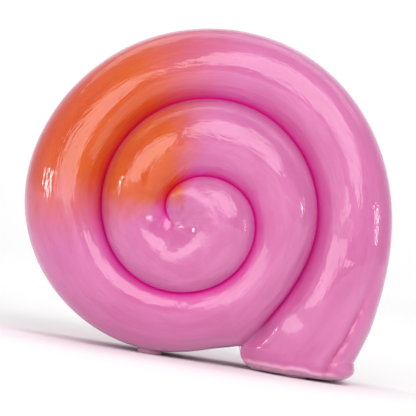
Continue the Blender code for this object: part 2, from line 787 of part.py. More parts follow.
def tape_path():
    """Middle line of the free tape: off the roll, round under the guide roller, then out to the blade."""
    roll_reach = ROLL_RADIUS + 0.2
    roller_reach = ROLLER_RADIUS + 0.2
    dx, dz = ROLLER_X - HUB_X, ROLLER_Z - HUB_Z
    lean = math.degrees(math.atan2(dz, dx) + math.acos((roll_reach + roller_reach) / math.hypot(dx, dz)))
    path = [hub_point(roll_reach, lean + turn) for turn in (8.0, 4.0, 0.0)]
    for k in range(9):
        turn = math.radians(lean + 180 + (90 - lean) * k / 8)
        path.append((ROLLER_X + roller_reach * math.cos(turn), ROLLER_Z + roller_reach * math.sin(turn)))
    path.append((BLADE_X - 0.35, path[-1][1]))
    return path


def build_tape_lead():
    path = tape_path()
    sides = ([], [])
    for k, (x, z) in enumerate(path):
        ax, az = path[max(k - 1, 0)]
        bx, bz = path[min(k + 1, len(path) - 1)]
        long = math.hypot(bx - ax, bz - az)
        nx, nz = -(bz - az) / long, (bx - ax) / long
        for side, sign in zip(sides, (0.5, -0.5)):
            side.append((x + nx * sign * TAPE_THICKNESS, z + nz * sign * TAPE_THICKNESS))
    half = TAPE_WIDTH / 2
    new_object("tape_lead", slab(sides[0] + sides[1][::-1], half - 0.3, -half), "tape_film")


def build_guide_roller():
    axis = along_y(ROLLER_X, ROLLER_Z)
    roller = turned(
        [
            (1.2 + RUNNING_GAP, 9.9),
            (ROLLER_RADIUS - 0.4, 9.9),
            (ROLLER_RADIUS, 9.5),
            (ROLLER_RADIUS, -9.5),
            (ROLLER_RADIUS - 0.4, -9.9),
            (1.2 + RUNNING_GAP, -9.9),
        ],
        axis,
        28,
    )
    roller = new_object("guide_roller", roller, "roller")
    hinged_on(roller, place(ROLLER_X, ROLLER_Z, 0.0))
    new_object("guide_roller_pin", rod(1.2, -12.1, 12.1, axis, 16), "steel")


def build_blade_holder():
    """Platform with two upright ears that carry the guide roller."""
    platform = [
        (34.5, PLATFORM_TOP),
        (34.5, -33.2),
        (38.2, -35.7),
        (44.6, -35.7),
        (49.0, -33.1),
        (BLADE_X - 0.2, -33.1),
        (BLADE_X - 0.2, PLATFORM_TOP),
    ]
    holder = new_object("blade_holder", slab(platform, HOLDER_HALF, -HOLDER_HALF), "hub_plastic")
    ear = [(34.3, -33.0), (40.9, -33.0), (40.9, -24.5), (40.0, -21.67), (37.5, -20.5), (34.67, -21.67)]
    ear.append((33.7, -24.5))
    ears = merged(slab(ear, 12.3, 10.2), slab(ear, -10.2, -12.3))
    boolean(holder, cutter("holder_ears", ears), "UNION")
    holes = [rod(1.4, -14.0, 14.0, along_y(ROLLER_X, ROLLER_Z), 16)]
    holes.append(rod(SHANK_RADIUS + GAP, -14.0, 14.0, along_y(*HOLDER_SCREW), 12))
    holes += [rod(1.1, BLADE_X - 4.3, BLADE_X + 2.0, along_x(-31.1, side * 7.0), 12) for side in (-1, 1)]
    boolean(holder, cutter("holder_holes", merged(*holes)))


def build_blade():
    """Steel strip standing on the platform's front face, with its teeth just above the tape."""
    teeth = 14
    pitch = 2 * (HOLDER_HALF - 0.2) / teeth
    left = -(HOLDER_HALF - 0.2)
    top = [(left + pitch * k / 2, -28.0 if k % 2 else -28.9) for k in range(2 * teeth + 1)]
    outline = top + [(-left, -33.0), (left, -33.0)]
    made = bmesh.new()
    loops = []
    for x in (BLADE_X, BLADE_X + BLADE_THICKNESS):
        loops.append([made.verts.new(place(x, z, h)) for h, z in outline])
    made.faces.new(loops[0])
    made.faces.new(loops[1])
    for k in range(len(outline)):
        n = (k + 1) % len(outline)
        made.faces.new((loops[0][k], loops[0][n], loops[1][n], loops[1][k]))
    bmesh.ops.recalc_face_normals(made, faces=made.faces)
    blade = new_object("cutter_blade", made, "steel")
    holes = [rod(1.1, BLADE_X - 1.0, BLADE_X + 2.0, along_x(-31.1, side * 7.0), 12) for side in (-1, 1)]
    boolean(blade, cutter("blade_holes", merged(*holes)))
    for number, side in ((1, 1), (2, -1)):
        face = BLADE_X + BLADE_THICKNESS + 0.1
        profile = [
            (0.0, face + 0.3),
            (0.7, face + 0.3, "six sides"),
            (0.7, face + 0.9, "six sides"),
            (1.2, face + 0.9),
            (1.6, face + 0.5),
            (1.6, face),
            (0.9, face),
            (0.9, BLADE_X - 4.0),
            (0.0, BLADE_X - 4.0),
        ]
        new_object(f"blade_screw_{number}", turned(profile, along_x(-31.1, side * 7.0), 12), "steel")


# ---------------------------------------------------------------- ballast, screws and feet


def build_ballast():
    """Iron slug under the roll, curved to clear it and to follow the casing."""
    outline = front_boundary()
    outer = [hub_point(cavity_radius(outline, a) - 0.5, a) for a in range(246, 289, CAVITY_STEP)]
    inner = [hub_point(30.6, 286 - 38 * k / 6) for k in range(7)]
    slug = new_object("ballast_weight", slab(outer + inner, 10.4, -10.4), "cast_iron")
    holes = [rod(SHANK_RADIUS + GAP, -14.0, 14.0, along_y(*hub_point(*at)), 12) for at in BALLAST_SCREWS]
    boolean(slug, cutter("ballast_holes", merged(*holes)))


def screw(name, x, z, seat, tip):
    """Socket screw along Y: its head is behind the seat and its shank runs forward to the tip."""
    profile = [
        (0.0, seat - 1.0),
        (1.25, seat - 1.0, "six sides"),
        (1.25, seat - 2.1, "six sides"),
        (HEAD_RADIUS, seat - 2.1),
        (HEAD_RADIUS, seat),
        (SHANK_RADIUS, seat),
        (SHANK_RADIUS, tip),
        (0.0, tip),
    ]
    new_object(name, turned(profile, along_y(x, z), 12), "steel")


def build_screws():
    for number, at in enumerate(CASING_SCREWS, 1):
        screw(f"casing_screw_{number}", *hub_point(*at), -9.2, 10.0)
    for number, at in enumerate(BALLAST_SCREWS, 1):
        screw(f"ballast_screw_{number}", *hub_point(*at), -10.6, 16.0)
    screw("holder_screw", *HOLDER_SCREW, -10.6, 16.0)


def build_pads():
    desk = -SPIRAL_Z
    for number, (x, height) in enumerate(FOOT_PADS, 1):
        profile = [(0.0, desk), (PAD_RADIUS - 0.4, desk), (PAD_RADIUS, desk + 0.4)]
        profile += [(PAD_RADIUS, PAD_TOP), (0.0, PAD_TOP)]
        new_object(f"foot_pad_{number}", turned(profile, along_z(x, height), 20), "rubber")


def main():
    clear_scene()
    build_front_casing()
    build_rear_casing()
    build_door()
    build_axle()
    build_clip()
    build_roll()
    build_tape_lead()
    build_guide_roller()
    build_blade_holder()
    build_blade()
    build_ballast()
    build_screws()
    build_pads()


main()
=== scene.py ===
"""Looks of the snail-shell tape dispenser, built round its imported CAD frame."""

import math

import bmesh
import bpy
from mathutils import Matrix, Vector, noise


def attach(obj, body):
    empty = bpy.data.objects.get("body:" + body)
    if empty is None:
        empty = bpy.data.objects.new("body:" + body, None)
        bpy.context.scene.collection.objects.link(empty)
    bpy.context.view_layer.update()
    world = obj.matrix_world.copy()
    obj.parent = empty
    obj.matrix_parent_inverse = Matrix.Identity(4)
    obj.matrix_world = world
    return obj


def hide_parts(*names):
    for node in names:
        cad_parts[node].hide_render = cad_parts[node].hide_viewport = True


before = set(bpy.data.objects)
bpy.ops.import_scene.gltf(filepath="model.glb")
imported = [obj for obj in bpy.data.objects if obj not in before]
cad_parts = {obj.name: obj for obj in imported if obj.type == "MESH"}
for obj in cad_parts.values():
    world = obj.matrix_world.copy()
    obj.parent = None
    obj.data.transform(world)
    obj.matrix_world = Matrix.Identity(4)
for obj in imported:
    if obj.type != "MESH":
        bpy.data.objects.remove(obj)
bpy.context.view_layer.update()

MM = 0.001

# Driving dimensions, in millimetres.
SEAM_Y = 3.57  # the plane where the two casings meet, also the middle of the tape
SPIRAL_X = -6.81  # the spiral's centre
SPIRAL_Z = 42.3
HUB_X = 6.3  # the tape hub, from the spiral's centre
HUB_Z = 2.6
TAPE_WIDTH = 19.0
ROLL_RADIUS = 28.5
CORE_OUTER = 14.2
CORE_INNER = 12.7
GAP = 0.3  # between pieces that touch in life
RUNNING_GAP = 0.08  # round a shaft that turns
WALL = 2.8
CAVITY_DEPTH = 13.0  # of each casing, from the seam
CAVITY_STEP = 6  # degrees between the cavity's corners

# The spiral: where a winding angle of 0 points, and the radius every 45 degrees outwards from the eye.
EYE_DIRECTION = 234.2
TURN_STEP = 45.0
SUTURE_RADII = (4.8, 5.2, 6.4, 8.3, 12.9, 19.4, 22.5, 23.3, 23.5, 23.5, 26.0, 31.2, 36.0, 38.0, 38.0)
NOTCH = (652.5, 42.0)  # winding angle and radius where the groove runs out to the rim
RIM_START = 675.0
RIM_RADII = (41.2, 43.6, 46.8, 48.3, 52.6, 58.1, 60.3)
# The rim past the last of those, down the mouth's outer wall: winding angle and radius.
MOUTH_RIM = ((955.0, 60.8), (965.0, 61.4), (975.0, 63.0), (987.0, 67.3))
MOUTH_TURNS = (945.0, 1012.5)  # winding angles at which the mouth begins and the groove is left behind
# Ends of the last sections, which round off the mouth's foot: inner and outer point, share of the height.
FOOT_SECTIONS = (
    ((22.4, -38.4), (55.9, -38.6), 0.98),
    ((24.0, -40.4), (54.2, -40.6), 0.90),
    ((26.6, -41.9), (50.8, -41.9), 0.72),
)
# Heights of the groove's bottom: winding angle and height above the seam.
GROOVE_HEIGHTS = (
    (-13.5, 28.0),
    (180.0, 24.0),
    (360.0, 20.5),
    (540.0, 17.5),
    (630.0, 16.4),
    (643.5, 15.0),
    (652.5, 11.5),
)
RIM_HEIGHT = 11.5
RIM_INSET = 0.6  # how far the side leans in between the seam and the rim
EYE_TURN = -13.5  # winding angle where the groove begins
STEP = 1.5  # degrees between sections
ACROSS = 48  # faces across a whorl
BULGE = 0.55  # a whorl's rise as a share of its width
MOST_WIDTH = 24.0  # widest whorl that still rises in proportion
TRIM = 0.2  # keeps the smooth rim inside the CAD model's facets
DISH = ((-3.4, -3.6), 4.2, 6.5)  # hollow round the eye: its middle, depth and reach
EYE_MIDDLE = (-2.2, -4.3)  # where the groove ends
# Dents in the mouth's front face: middle, reach, depth.
THUMB_MARKS = (((36.5, -25.6), 3.6, 0.7), ((45.0, -5.0), 6.5, 0.6))
EYE_EASE = 4.5  # how far round the eye the surface is eased
NOTCH_EASE = 9.0  # and round the notch
GROOVE_FADE = 13.0  # degrees over which the groove's colour dies out before the notch
# The mouth's crease between its front face and its outer side: plan points down to the foot.
CREASE = ((55.4, -14.0), (54.2, -19.0), (51.6, -26.5), (49.2, -33.5), (46.6, -39.5))
LIP_HEIGHT = -39.7  # plan z of the lip's pale edge, above its underside
LIP_SPAN = (22.0, 52.0)  # plan x along which that edge shows

# Rear door and its hinge. Plan distances are from the hub, and heights are behind the seam.
OPENING_RADIUS = 29.6
DOOR_RADIUS = 34.0
RECESS_RADIUS = 34.4
RECESS_HEIGHT = 15.6
REAR_EDGE_HEIGHT = 17.5
DOOR_TURNS = 750.0  # winding angle at which the door's own groove reaches its edge
DOOR_STEP = 2.5
DOOR_ACROSS = 20
HINGE_X = -38.0
HINGE_HEIGHT = 17.9
HINGE_PIN_RADIUS = 0.9
KNUCKLE_RADIUS = 2.2
KNUCKLE_HALF = 4.7
MAGNET_X = 32.0
MAGNET_RADIUS = 1.5
MAGNET_PLAY = 0.15  # round a magnet in its seat
DOOR_INSIDE = -RECESS_HEIGHT - GAP
FAR_BEHIND = -40.0  # past everything at the rear, for cuts that go right through

# Turning parts.
AXLE_RADIUS = 2.5
AXLE_GROOVE = 2.0
CLIP_HEIGHT = -11.4
HUB_HALF = 9.7
FLANGE_RADIUS = 16.5

# Tape path: plan points from the spiral's centre.
ROLLER_X = 37.5
ROLLER_Z = -24.5
ROLLER_RADIUS = 4.0
ROLLER_HALF = 9.9
ROLLER_EDGE = 0.4
ROLLER_PIN_RADIUS = 1.2
TAPE_THICKNESS = 0.16
BLADE_X = 54.6
BLADE_THICKNESS = 0.5
BLADE_FOOT = -33.0
BLADE_SCREW_HEIGHT = -31.1
BLADE_SCREW_ACROSS = 7.0
HOLDER_HALF = 10.4
MOUTH_HALF = 10.8
MOUTH_Z = (-33.4, -8.0)

# Screws: (distance from the hub, angle) for those placed round it, plan points for the holder's.
CASING_SCREWS = ((43.0, 21.0), (39.0, 78.0), (39.0, 150.0), (39.0, 232.0))
BALLAST_SCREWS = ((34.0, 256.0), (34.0, 274.0))
HOLDER_SCREW = (44.0, -31.8)
POST_RADIUS = 3.9
COUNTERBORE_RADIUS = 3.2
COUNTERBORE_HEIGHT = -9.0
CASING_SCREW_END = 10.0  # heights of the screws' tips, and how much deeper their holes go
FLOOR_SCREW_SEAT = -10.6
FLOOR_SCREW_END = 16.0
HOLE_BEYOND = 0.3
SHANK_RADIUS = 1.5
HEAD_RADIUS = 2.7

# Foot pads: plan x and height of each, with the desk 42.3 below the spiral's centre.
FOOT_PADS = ((-3.6, 6.5), (-3.6, -6.5), (38.7, 9.5), (38.7, -9.5))
PAD_RADIUS = 3.6
PAD_TOP = -41.0

# Where the orange sector's middle points.
ORANGE_AT = math.radians(142.5)
ORANGE_COS = math.cos(ORANGE_AT)
ORANGE_SIN = math.sin(ORANGE_AT)


# ---------------------------------------------------------------- shapes


def place(x, z, height):
    """World position, in metres, of a plan point at a height in front of the seam, or behind it below 0."""
    return Vector(((SPIRAL_X + x) * MM, (SEAM_Y - height) * MM, (SPIRAL_Z + z) * MM))


def clamped(value):
    return min(max(value, 0.0), 1.0)


def bell(away, wide):
    """1 where away is 0, falling off smoothly over a width."""
    return math.exp(-((away / wide) ** 2))


def merged(*sources):
    """One bmesh holding several that stand clear of one another."""
    made = bmesh.new()
    for source in sources:
        held = bpy.data.meshes.new("held")
        source.to_mesh(held)
        source.free()
        made.from_mesh(held)
        bpy.data.meshes.remove(held)
    return made


def along_y(x, z):
    """Axis through a plan point, running from rear to front."""
    return lambda u, v, along: place(x + u, z + v, along)


def along_x(z, height):
    """Axis running towards the mouth's side."""
    return lambda u, v, along: place(along, z + v, height + u)


def along_z(x, height):
    """Upright axis."""
    return lambda u, v, along: place(x + u, along, height + v)


def hexagon_factor(angle):
    return math.cos(math.pi / 6) / math.cos(angle % (math.pi / 3) - math.pi / 6)


def turned(profile, axis, segments=24):
    """A solid turned about an axis.

    The profile holds (radius, distance along), and a third entry makes that corner six-sided. A profile that
    begins and ends on the axis is closed there, and any other is a ring.
    """
    made = bmesh.new()
    solid = profile[0][0] == 0.0
    poles = [made.verts.new(axis(0.0, 0.0, p[1])) for p in (profile[0], profile[-1])] if solid else []
    corners = profile[1:-1] if solid else profile
    loops = []
    for k in range(segments):
        angle = 2 * math.pi * k / segments
        loop = []
        for radius, along, *six_sided in corners:
            r = radius * hexagon_factor(angle) if six_sided else radius
            loop.append(made.verts.new(axis(r * math.cos(angle), r * math.sin(angle), along)))
        loops.append(loop)
    for k in range(segments):
        here, there = loops[k], loops[(k + 1) % segments]
        for j in range(len(corners) - 1):
            made.faces.new((here[j], here[j + 1], there[j + 1], there[j]))
        if solid:
            made.faces.new((poles[0], here[0], there[0]))
            made.faces.new((poles[1], there[-1], here[-1]))
        else:
            made.faces.new((here[-1], here[0], there[0], there[-1]))
    bmesh.ops.recalc_face_normals(made, faces=made.faces)
    return made


def rod(radius, start, end, axis, segments=16):
    return turned([(0.0, start), (radius, start), (radius, end), (0.0, end)], axis, segments)


def strip_between(made, here, there):
    """Faces that join two closed loops of vertices."""
    count = len(here)
    for k in range(count):
        n = (k + 1) % count
        made.faces.new((here[k], here[n], there[n], there[k]))


def split_and_turned_out(made):
    """Splits faces of many corners into triangles and turns every face outwards."""
    bmesh.ops.triangulate(made, faces=[f for f in made.faces if len(f.verts) > 4])
    bmesh.ops.recalc_face_normals(made, faces=made.faces)


def prism(near_end, far_end):
    """A solid between two matching loops of world points."""
    made = bmesh.new()
    here, there = ([made.verts.new(point) for point in end] for end in (near_end, far_end))
    made.faces.new(here)
    made.faces.new(there)
    strip_between(made, here, there)
    bmesh.ops.recalc_face_normals(made, faces=made.faces)
    return made


def slab(points, front, rear):
    """An extruded outline: plan points joined in order, between two heights."""
    return prism(*([place(x, z, h) for x, z in points] for h in (front, rear)))


def block(x, z, height):
    """A box from (low, high) pairs of plan x, plan z and height."""
    corners = [(x[0], z[0]), (x[1], z[0]), (x[1], z[1]), (x[0], z[1])]
    return slab(corners, height[1], height[0])


# ---------------------------------------------------------------- the spiral


def curve_through(knots, at):
    """Smooth cubic through (position, value) knots, with slopes from each knot's neighbours."""
    if at <= knots[0][0]:
        return knots[0][1]
    if at >= knots[-1][0]:
        return knots[-1][1]
    k = max(i for i in range(len(knots) - 1) if knots[i][0] <= at)

    def slope(i):
        a, b = knots[max(i - 1, 0)], knots[min(i + 1, len(knots) - 1)]
        return (b[1] - a[1]) / (b[0] - a[0])

    (p0, v0), (p1, v1) = knots[k], knots[k + 1]
    span = p1 - p0
    t = (at - p0) / span
    return (
        (2 * t**3 - 3 * t**2 + 1) * v0
        + (t**3 - 2 * t**2 + t) * span * slope(k)
        + (3 * t**2 - 2 * t**3) * v1
        + (t**3 - t**2) * span * slope(k + 1)
    )


SUTURE = [(EYE_TURN, 5.6)] + [(TURN_STEP * k, r) for k, r in enumerate(SUTURE_RADII)] + [NOTCH]
RIM = [NOTCH, (664.0, 40.8)] + [(RIM_START + TURN_STEP * k, r) for k, r in enumerate(RIM_RADII)]
RIM += list(MOUTH_RIM)


def smooth(knots, turn, spread=9.0):
    """The knots' curve averaged over a few degrees, so that gloss runs over it without a kink."""
    weights = (1, 4, 6, 4, 1)
    found = [curve_through(knots, turn + spread * (n - 2)) * w for n, w in enumerate(weights)]
    return sum(found) / sum(weights)


def polar(turn, radius):
    angle = math.radians(EYE_DIRECTION - turn)
    return radius * math.cos(angle), radius * math.sin(angle)


def groove_point(turn):
    return polar(turn, smooth(SUTURE, turn, min(9.0, max(0.0, (NOTCH[0] - turn) / 3))))


def rim_point(turn):
    """A point of the rim. Down the mouth the rim falls behind the groove, so the sections fan out."""
    start, end = MOUTH_TURNS
    if turn > start:
        turn = start + (turn - start) * (MOUTH_RIM[-1][0] - start) / (end - start)
    return polar(turn, smooth(RIM, turn, min(9.0, max(0.0, (turn - NOTCH[0]) / 4))) - TRIM)


def mixed(a, b, share):
    return tuple(p + (q - p) * share for p, q in zip(a, b))


def arch(share, lean_in):
    """Position across a whorl and rise above its chord, for a share of the arc from the groove outwards.

    lean_in is the angle on the arc at which the whorl comes out from under its inner neighbour.
    """
    angle = lean_in + (math.pi - lean_in) * share
    across = (math.cos(lean_in) - math.cos(angle)) / (math.cos(lean_in) + 1)
    return across, math.sin(angle) - math.sin(lean_in) * (1 - across)


def lean_at(turn):
    """A whorl starts flat where the groove begins, and steep along the rest of it."""
    fade = clamped((turn - 345.0) / 90.0)
    return math.radians(80 - 42 * fade)


def hand_worked(turn, share, seed):
    """Slight unevenness of a surface smoothed by hand, longer along the coil than across it."""
    place_in_noise = Vector(((turn + seed) / 26.0, share * 2.6, 0.0))
    fine = Vector(((turn + seed) / 11.0, share * 7.0, 5.0))
    settled = clamped((turn - 60.0) / 300.0)
    wilder = 1.0 + 1.8 * clamped((turn - 930.0) / 60.0)
    if seed:
        wilder = 1.0
    return settled * wilder * (0.20 * noise.noise(place_in_noise) + 0.05 * noise.noise(fine))


def slumped(turn):
    """How far the outer whorl's crest leans in towards the groove, down its left side and at the mouth."""
    return 0.7 * bell(turn - 780.0, 75.0) + 0.8 * bell(turn - 985.0, 40.0)


def off_line(x, z, line):
    """Signed distance from a plan point to an open line, positive on its right going along it."""
    best = (math.inf, 0.0)
    for (ax, az), (bx, bz) in zip(line, line[1:]):
        dx, dz = bx - ax, bz - az
        share = ((x - ax) * dx + (z - az) * dz) / (dx * dx + dz * dz)
        share = clamped(share)
        px, pz = x - ax - share * dx, z - az - share * dz
        best = min(best, (math.hypot(px, pz), math.copysign(1.0, px * dz - pz * dx)))
    return best[0] * best[1]


def crease_at(x, z):
    """How near a plan point is to the mouth's crease, from 0 to 1, and below 0 on the ridge beside it."""
    if x < 40.0 or z > -10.0:
        return 0.0
    away = off_line(x, z, CREASE) + 0.5 * noise.noise(Vector((x / 4.0, z / 4.0, 2.0)))
    fade = clamped((-12.0 - z) / 8.0)
    return fade * (bell(away, 0.9) - 0.35 * bell(away - 2.0, 1.2))


def lip_edge_at(x, z):
    """How near a plan point is to the lip's pale edge, from 0 to 1."""
    if z > -34.0:
        return 0.0
    low, high = LIP_SPAN
    ends = clamped((x - low) / 3.0) * clamped((high - x) / 4.0)
    wave = 0.9 * noise.noise(Vector((x / 6.0, 0.0, 7.0))) + 0.3 * noise.noise(Vector((x / 2.0, 0.0, 3.0)))
    return ends * bell(z - LIP_HEIGHT - wave, 0.6)


def lip_pale_at(x, z):
    """The lip's pale edge and, less so, its underside."""
    under = clamped((LIP_HEIGHT - 0.3 - z) / 0.8) if LIP_SPAN[0] < x < LIP_SPAN[1] else 0.0
    return max(lip_edge_at(x, z), 0.6 * under)


def worked_detail(x, z):
    """Height added by hand: a dish round the eye, dents and a crease in the mouth, a bead along its lip."""
    (dish_x, dish_z), depth, reach_out = DISH
    dish = depth * bell(math.hypot(x - dish_x, z - dish_z), reach_out)
    for (mark_x, mark_z), wide, deep in THUMB_MARKS:
        dish += deep * bell(math.hypot(x - mark_x, z - mark_z), wide)
    return 0.32 * lip_edge_at(x, z) - 1.0 * crease_at(x, z) - dish


def section(turn, inner, outer, inner_height, outer_height, shrink=1.0, seed=0.0):
    """Points across a whorl between its two edges, both left out."""
    width = min(math.dist(inner, outer), MOST_WIDTH)
    found = []
    for j in range(1, ACROSS):
        across, rise = arch(j / ACROSS, lean_at(turn))
        chord = inner_height + (outer_height - inner_height) * across
        uneven = hand_worked(turn, j / ACROSS, seed) * math.sin(math.pi * j / ACROSS)
        uneven += slumped(turn) * math.sin(2 * math.pi * across)
        x, z = mixed(inner, outer, across)
        height = (chord + BULGE * width * rise) * shrink + uneven
        found.append((x, z, height))
    return found


def foot_sections():
    """The mouth's last sections, eased from the rim's last one round to the flat foot."""
    first = (groove_point(NOTCH[0]), rim_point(MOUTH_TURNS[1]), 1.0)
    stops = [first, *FOOT_SECTIONS]
    per_stop = 5
    sections = []
    for k in range(1, per_stop * (len(stops) - 1) + 1):
        at = k / per_stop

        def eased(read):
            return curve_through([(float(n), read(stop)) for n, stop in enumerate(stops)], at)

        inner = (eased(lambda s: s[0][0]), eased(lambda s: s[0][1]))
        outer = (eased(lambda s: s[1][0]), eased(lambda s: s[1][1]))
        sections.append((inner, outer, eased(lambda s: s[2])))
    return sections


def front_boundary():
    """The plan outline from the notch: round the rim, down the mouth, along the foot and back."""
    turns = [NOTCH[0] + STEP * k for k in range(1, 1 + round(360 / STEP))]
    foot = foot_sections()
    loop = [rim_point(t) for t in turns]
    loop += [outer for _, outer, _ in foot]
    last_inner, last_outer, _ = foot[-1]
    lean = lean_at(MOUTH_TURNS[1])
    loop += [mixed(last_inner, last_outer, arch(j / ACROSS, lean)[0]) for j in range(ACROSS - 1, 0, -1)]
    loop += [inner for inner, _, _ in reversed(foot)]
    loop.append(groove_point(NOTCH[0]))
    return loop


def inward(point, by):
    """The plan point moved towards the hub."""
    dx, dz = point[0] - HUB_X, point[1] - HUB_Z
    far = math.hypot(dx, dz)
    return HUB_X + dx * (far - by) / far, HUB_Z + dz * (far - by) / far


def marked_face(made, corners, marks):
    """A face whose corners carry how far along and across the coil they are, and how near groove and rim."""
    kept = {}
    for corner, mark in zip(corners, marks):
        kept.setdefault(corner, mark)
    if len(kept) < 3:
        return
    face = made.faces.new(list(kept))
    coil = made.loops.layers.uv["coil"]
    near = made.loops.layers.uv["near"]
    for loop in face.loops:
        turns, share, groove_and_shade, rim = kept[loop.vert]
        loop[coil].uv = (turns, share)
        loop[near].uv = (groove_and_shade, rim)


def marked_grid(made, rows, marks):
    """Marked faces between each row of vertices and the next."""
    for here, there, here_marks, there_marks in zip(rows, rows[1:], marks, marks[1:]):
        for j in range(len(here) - 1):
            corners = [here[j], here[j + 1], there[j + 1], there[j]]
            marks_here = [here_marks[j], here_marks[j + 1], there_marks[j + 1], there_marks[j]]
            marked_face(made, corners, marks_here)


def whorled_half(made):
    """The front casing's outer form as a closed solid: spiral face, leaning side and flat seam."""
    for layer in ("coil", "near"):
        made.loops.layers.uv.new(layer)
    per_turn = round(360 / STEP)
    notch_index = round((NOTCH[0] - EYE_TURN) / STEP)
    last = notch_index + per_turn
    eye = made.verts.new(place(*groove_point(EYE_TURN), curve_through(GROOVE_HEIGHTS, EYE_TURN)))
    edge, rows, marks = {0: eye}, {}, {}
    boundary = []

    def mark_row(k, turn, grooved_in, grooved_out):
        points = [v.co for v in rows[k]]
        along = [0.0]
        for p, q in zip(points, points[1:]):
            along.append(along[-1] + (q - p).length)
        marks[k] = []
        fade_in, fade_out = (clamped((NOTCH[0] - 4.0 - t) / GROOVE_FADE) for t in (turn - 360.0, turn))
        for j, here in enumerate(along):
            groove_and_shade = 0.0
            if grooved_in:
                # Painted shade: this wide, weaker band reaches about 5 mm out from the groove onto the outer
                # whorl, as if shaded by the inner whorl's wall; the narrow part is the groove's deeper
                # colour.
                wide = 0.55 * math.exp(-here / (5.0 * MM))
                groove_and_shade = fade_in * max(math.exp(-here / (1.7 * MM)), wide)
            if grooved_out:
                groove_and_shade = max(groove_and_shade, fade_out * math.exp(-(along[-1] - here) / (1.9 * MM)))
            # Painted sheen: the rim mark lightens the outer edge as a grazing reflection would.
            rim = 0.0 if grooved_out else math.exp(-(along[-1] - here) / (4.0 * MM))
            marks[k].append((turn / 360.0, j / ACROSS, groove_and_shade, rim))

    for k in range(1, last + 1):
        turn = EYE_TURN + STEP * k
        on_rim = k > notch_index
        outer = rim_point(turn) if on_rim else groove_point(turn)
        outer_height = smooth(GROOVE_HEIGHTS, turn, 4.0)
        inner_turn = max(turn - 360, EYE_TURN)
        inner, inner_height = groove_point(inner_turn), smooth(GROOVE_HEIGHTS, inner_turn, 4.0)
        inset = RIM_INSET * clamped((turn - NOTCH[0]) / 30.0)
        top = inward(outer, inset)
        edge[k] = made.verts.new(place(*top, outer_height))
        middle = section(turn, inner, top, inner_height, outer_height)
        inner_vert = edge[max(k - per_turn, 0)]
        rows[k] = [inner_vert] + [made.verts.new(place(*p)) for p in middle] + [edge[k]]
        mark_row(k, turn, turn > 345.0, not on_rim)
        if on_rim:
            boundary.append((edge[k], outer))
    foot = foot_sections()
    # The mouth's foot, past the notch: both ends of each section are free.
    for n, (inner, outer, shrink) in enumerate(foot):
        k = last + 1 + n
        top = inward(outer, RIM_INSET)
        left = max(1.0 - (n + 1) / 5, 0.0)
        inner_height = RIM_HEIGHT + left * (smooth(GROOVE_HEIGHTS, NOTCH[0], 4.0) - RIM_HEIGHT)
        middle = section(MOUTH_TURNS[1], inner, top, inner_height, RIM_HEIGHT, shrink, n * STEP)
        heights = (inner_height * shrink, RIM_HEIGHT * shrink)
        ends = [made.verts.new(place(*p, h)) for p, h in zip((inner, top), heights)]
        rows[k] = [ends[0]] + [made.verts.new(place(*p)) for p in middle] + [ends[1]]
        mark_row(k, MOUTH_TURNS[1] + n * STEP, False, False)
        boundary.append((ends[1], outer))
    last_row = rows[last + len(foot)]
    inner, outer, _ = foot[-1]
    for j in range(ACROSS - 1, 0, -1):
        across = arch(j / ACROSS, lean_at(MOUTH_TURNS[1]))[0]
        boundary.append((last_row[j], mixed(inner, outer, across)))
    for n in range(len(foot) - 1, -1, -1):
        boundary.append((rows[last + 1 + n][0], foot[n][0]))
    boundary.append((edge[notch_index], groove_point(NOTCH[0])))
    rows[0] = [eye] * (ACROSS + 1)
    marks[0] = [(EYE_TURN / 360.0, 0.0, 0.6, 0.0)] * (ACROSS + 1)
    order = range(last + len(foot) + 1)
    marked_grid(made, [rows[k] for k in order], [marks[k] for k in order])
    for v in made.verts:
        x, z = v.co.x / MM - SPIRAL_X, v.co.z / MM - SPIRAL_Z
        v.co.y -= worked_detail(x, z) * MM
    ease(made, eye.co.copy(), EYE_EASE, 40)
    ease(made, edge[notch_index].co.copy(), NOTCH_EASE, 60)
    side_and_seam(made, boundary)
    mark_lip(made)
    return made


def ease(made, middle, reach_out, rounds):
    """Averages the height of points near a place with their neighbours', most of all at its middle."""
    near = []
    for v in made.verts:
        away = math.hypot(v.co.x - middle.x, v.co.z - middle.z) / (reach_out * MM)
        if away < 1.0:
            near.append((v, 0.5 * (1.0 - away)))
    for _ in range(rounds):
        eased = []
        for v, weight in near:
            others = [e.other_vert(v).co.y for e in v.link_edges]
            eased.append(v.co.y + (sum(others) / len(others) - v.co.y) * weight)
        for (v, _), y in zip(near, eased):
            v.co.y = y


def mark_lip(made):
    """Carries each corner's nearness to the lip's edge and to the crease, for the pale lip colour and the
    painted shade in the crease.
    """
    lip = made.loops.layers.uv.new("lip")
    for face in made.faces:
        for loop in face.loops:
            x, z = loop.vert.co.x / MM - SPIRAL_X, loop.vert.co.z / MM - SPIRAL_Z
            in_front = clamped((SEAM_Y - loop.vert.co.y / MM - 4.0) / 3.0)
            loop[lip].uv = (lip_pale_at(x, z) * in_front, max(crease_at(x, z), 0.0) * in_front)


def side_and_seam(made, boundary, facing=1):
    """Closes a half from its boundary vertices down to the seam. facing is 1 in front and -1 behind."""
    levels = [[v for v, _ in boundary]]
    for height, by in ((8.5, 0.55), (5.5, 0.25), (2.8, 0.08), (0.6, 0.0)):
        level = [made.verts.new(place(*inward(p, RIM_INSET * by), facing * height)) for _, p in boundary]
        levels.append(level)
    levels.append([made.verts.new(place(*inward(p, 0.25), facing * GAP / 2)) for _, p in boundary])
    count = len(boundary)
    for n in range(len(levels) - 1):
        upper, lower = levels[n], levels[n + 1]
        for k in range(count):
            m = (k + 1) % count
            corners = [upper[k], upper[m], lower[m], lower[k]]
            turns = (NOTCH[0] + STEP * k) / 360.0
            beyond = 1.0 + 0.1 * n
            rows = [(turns, beyond), (turns + STEP / 360.0, beyond)]
            rows += [(turns + STEP / 360.0, beyond + 0.1), (turns, beyond + 0.1)]
            # The side carries the whole rim mark, so the painted sheen lightens it.
            marked_face(made, corners, [(*row, 0.0, 1.0) for row in rows])
    made.faces.new(levels[-1])
    split_and_turned_out(made)


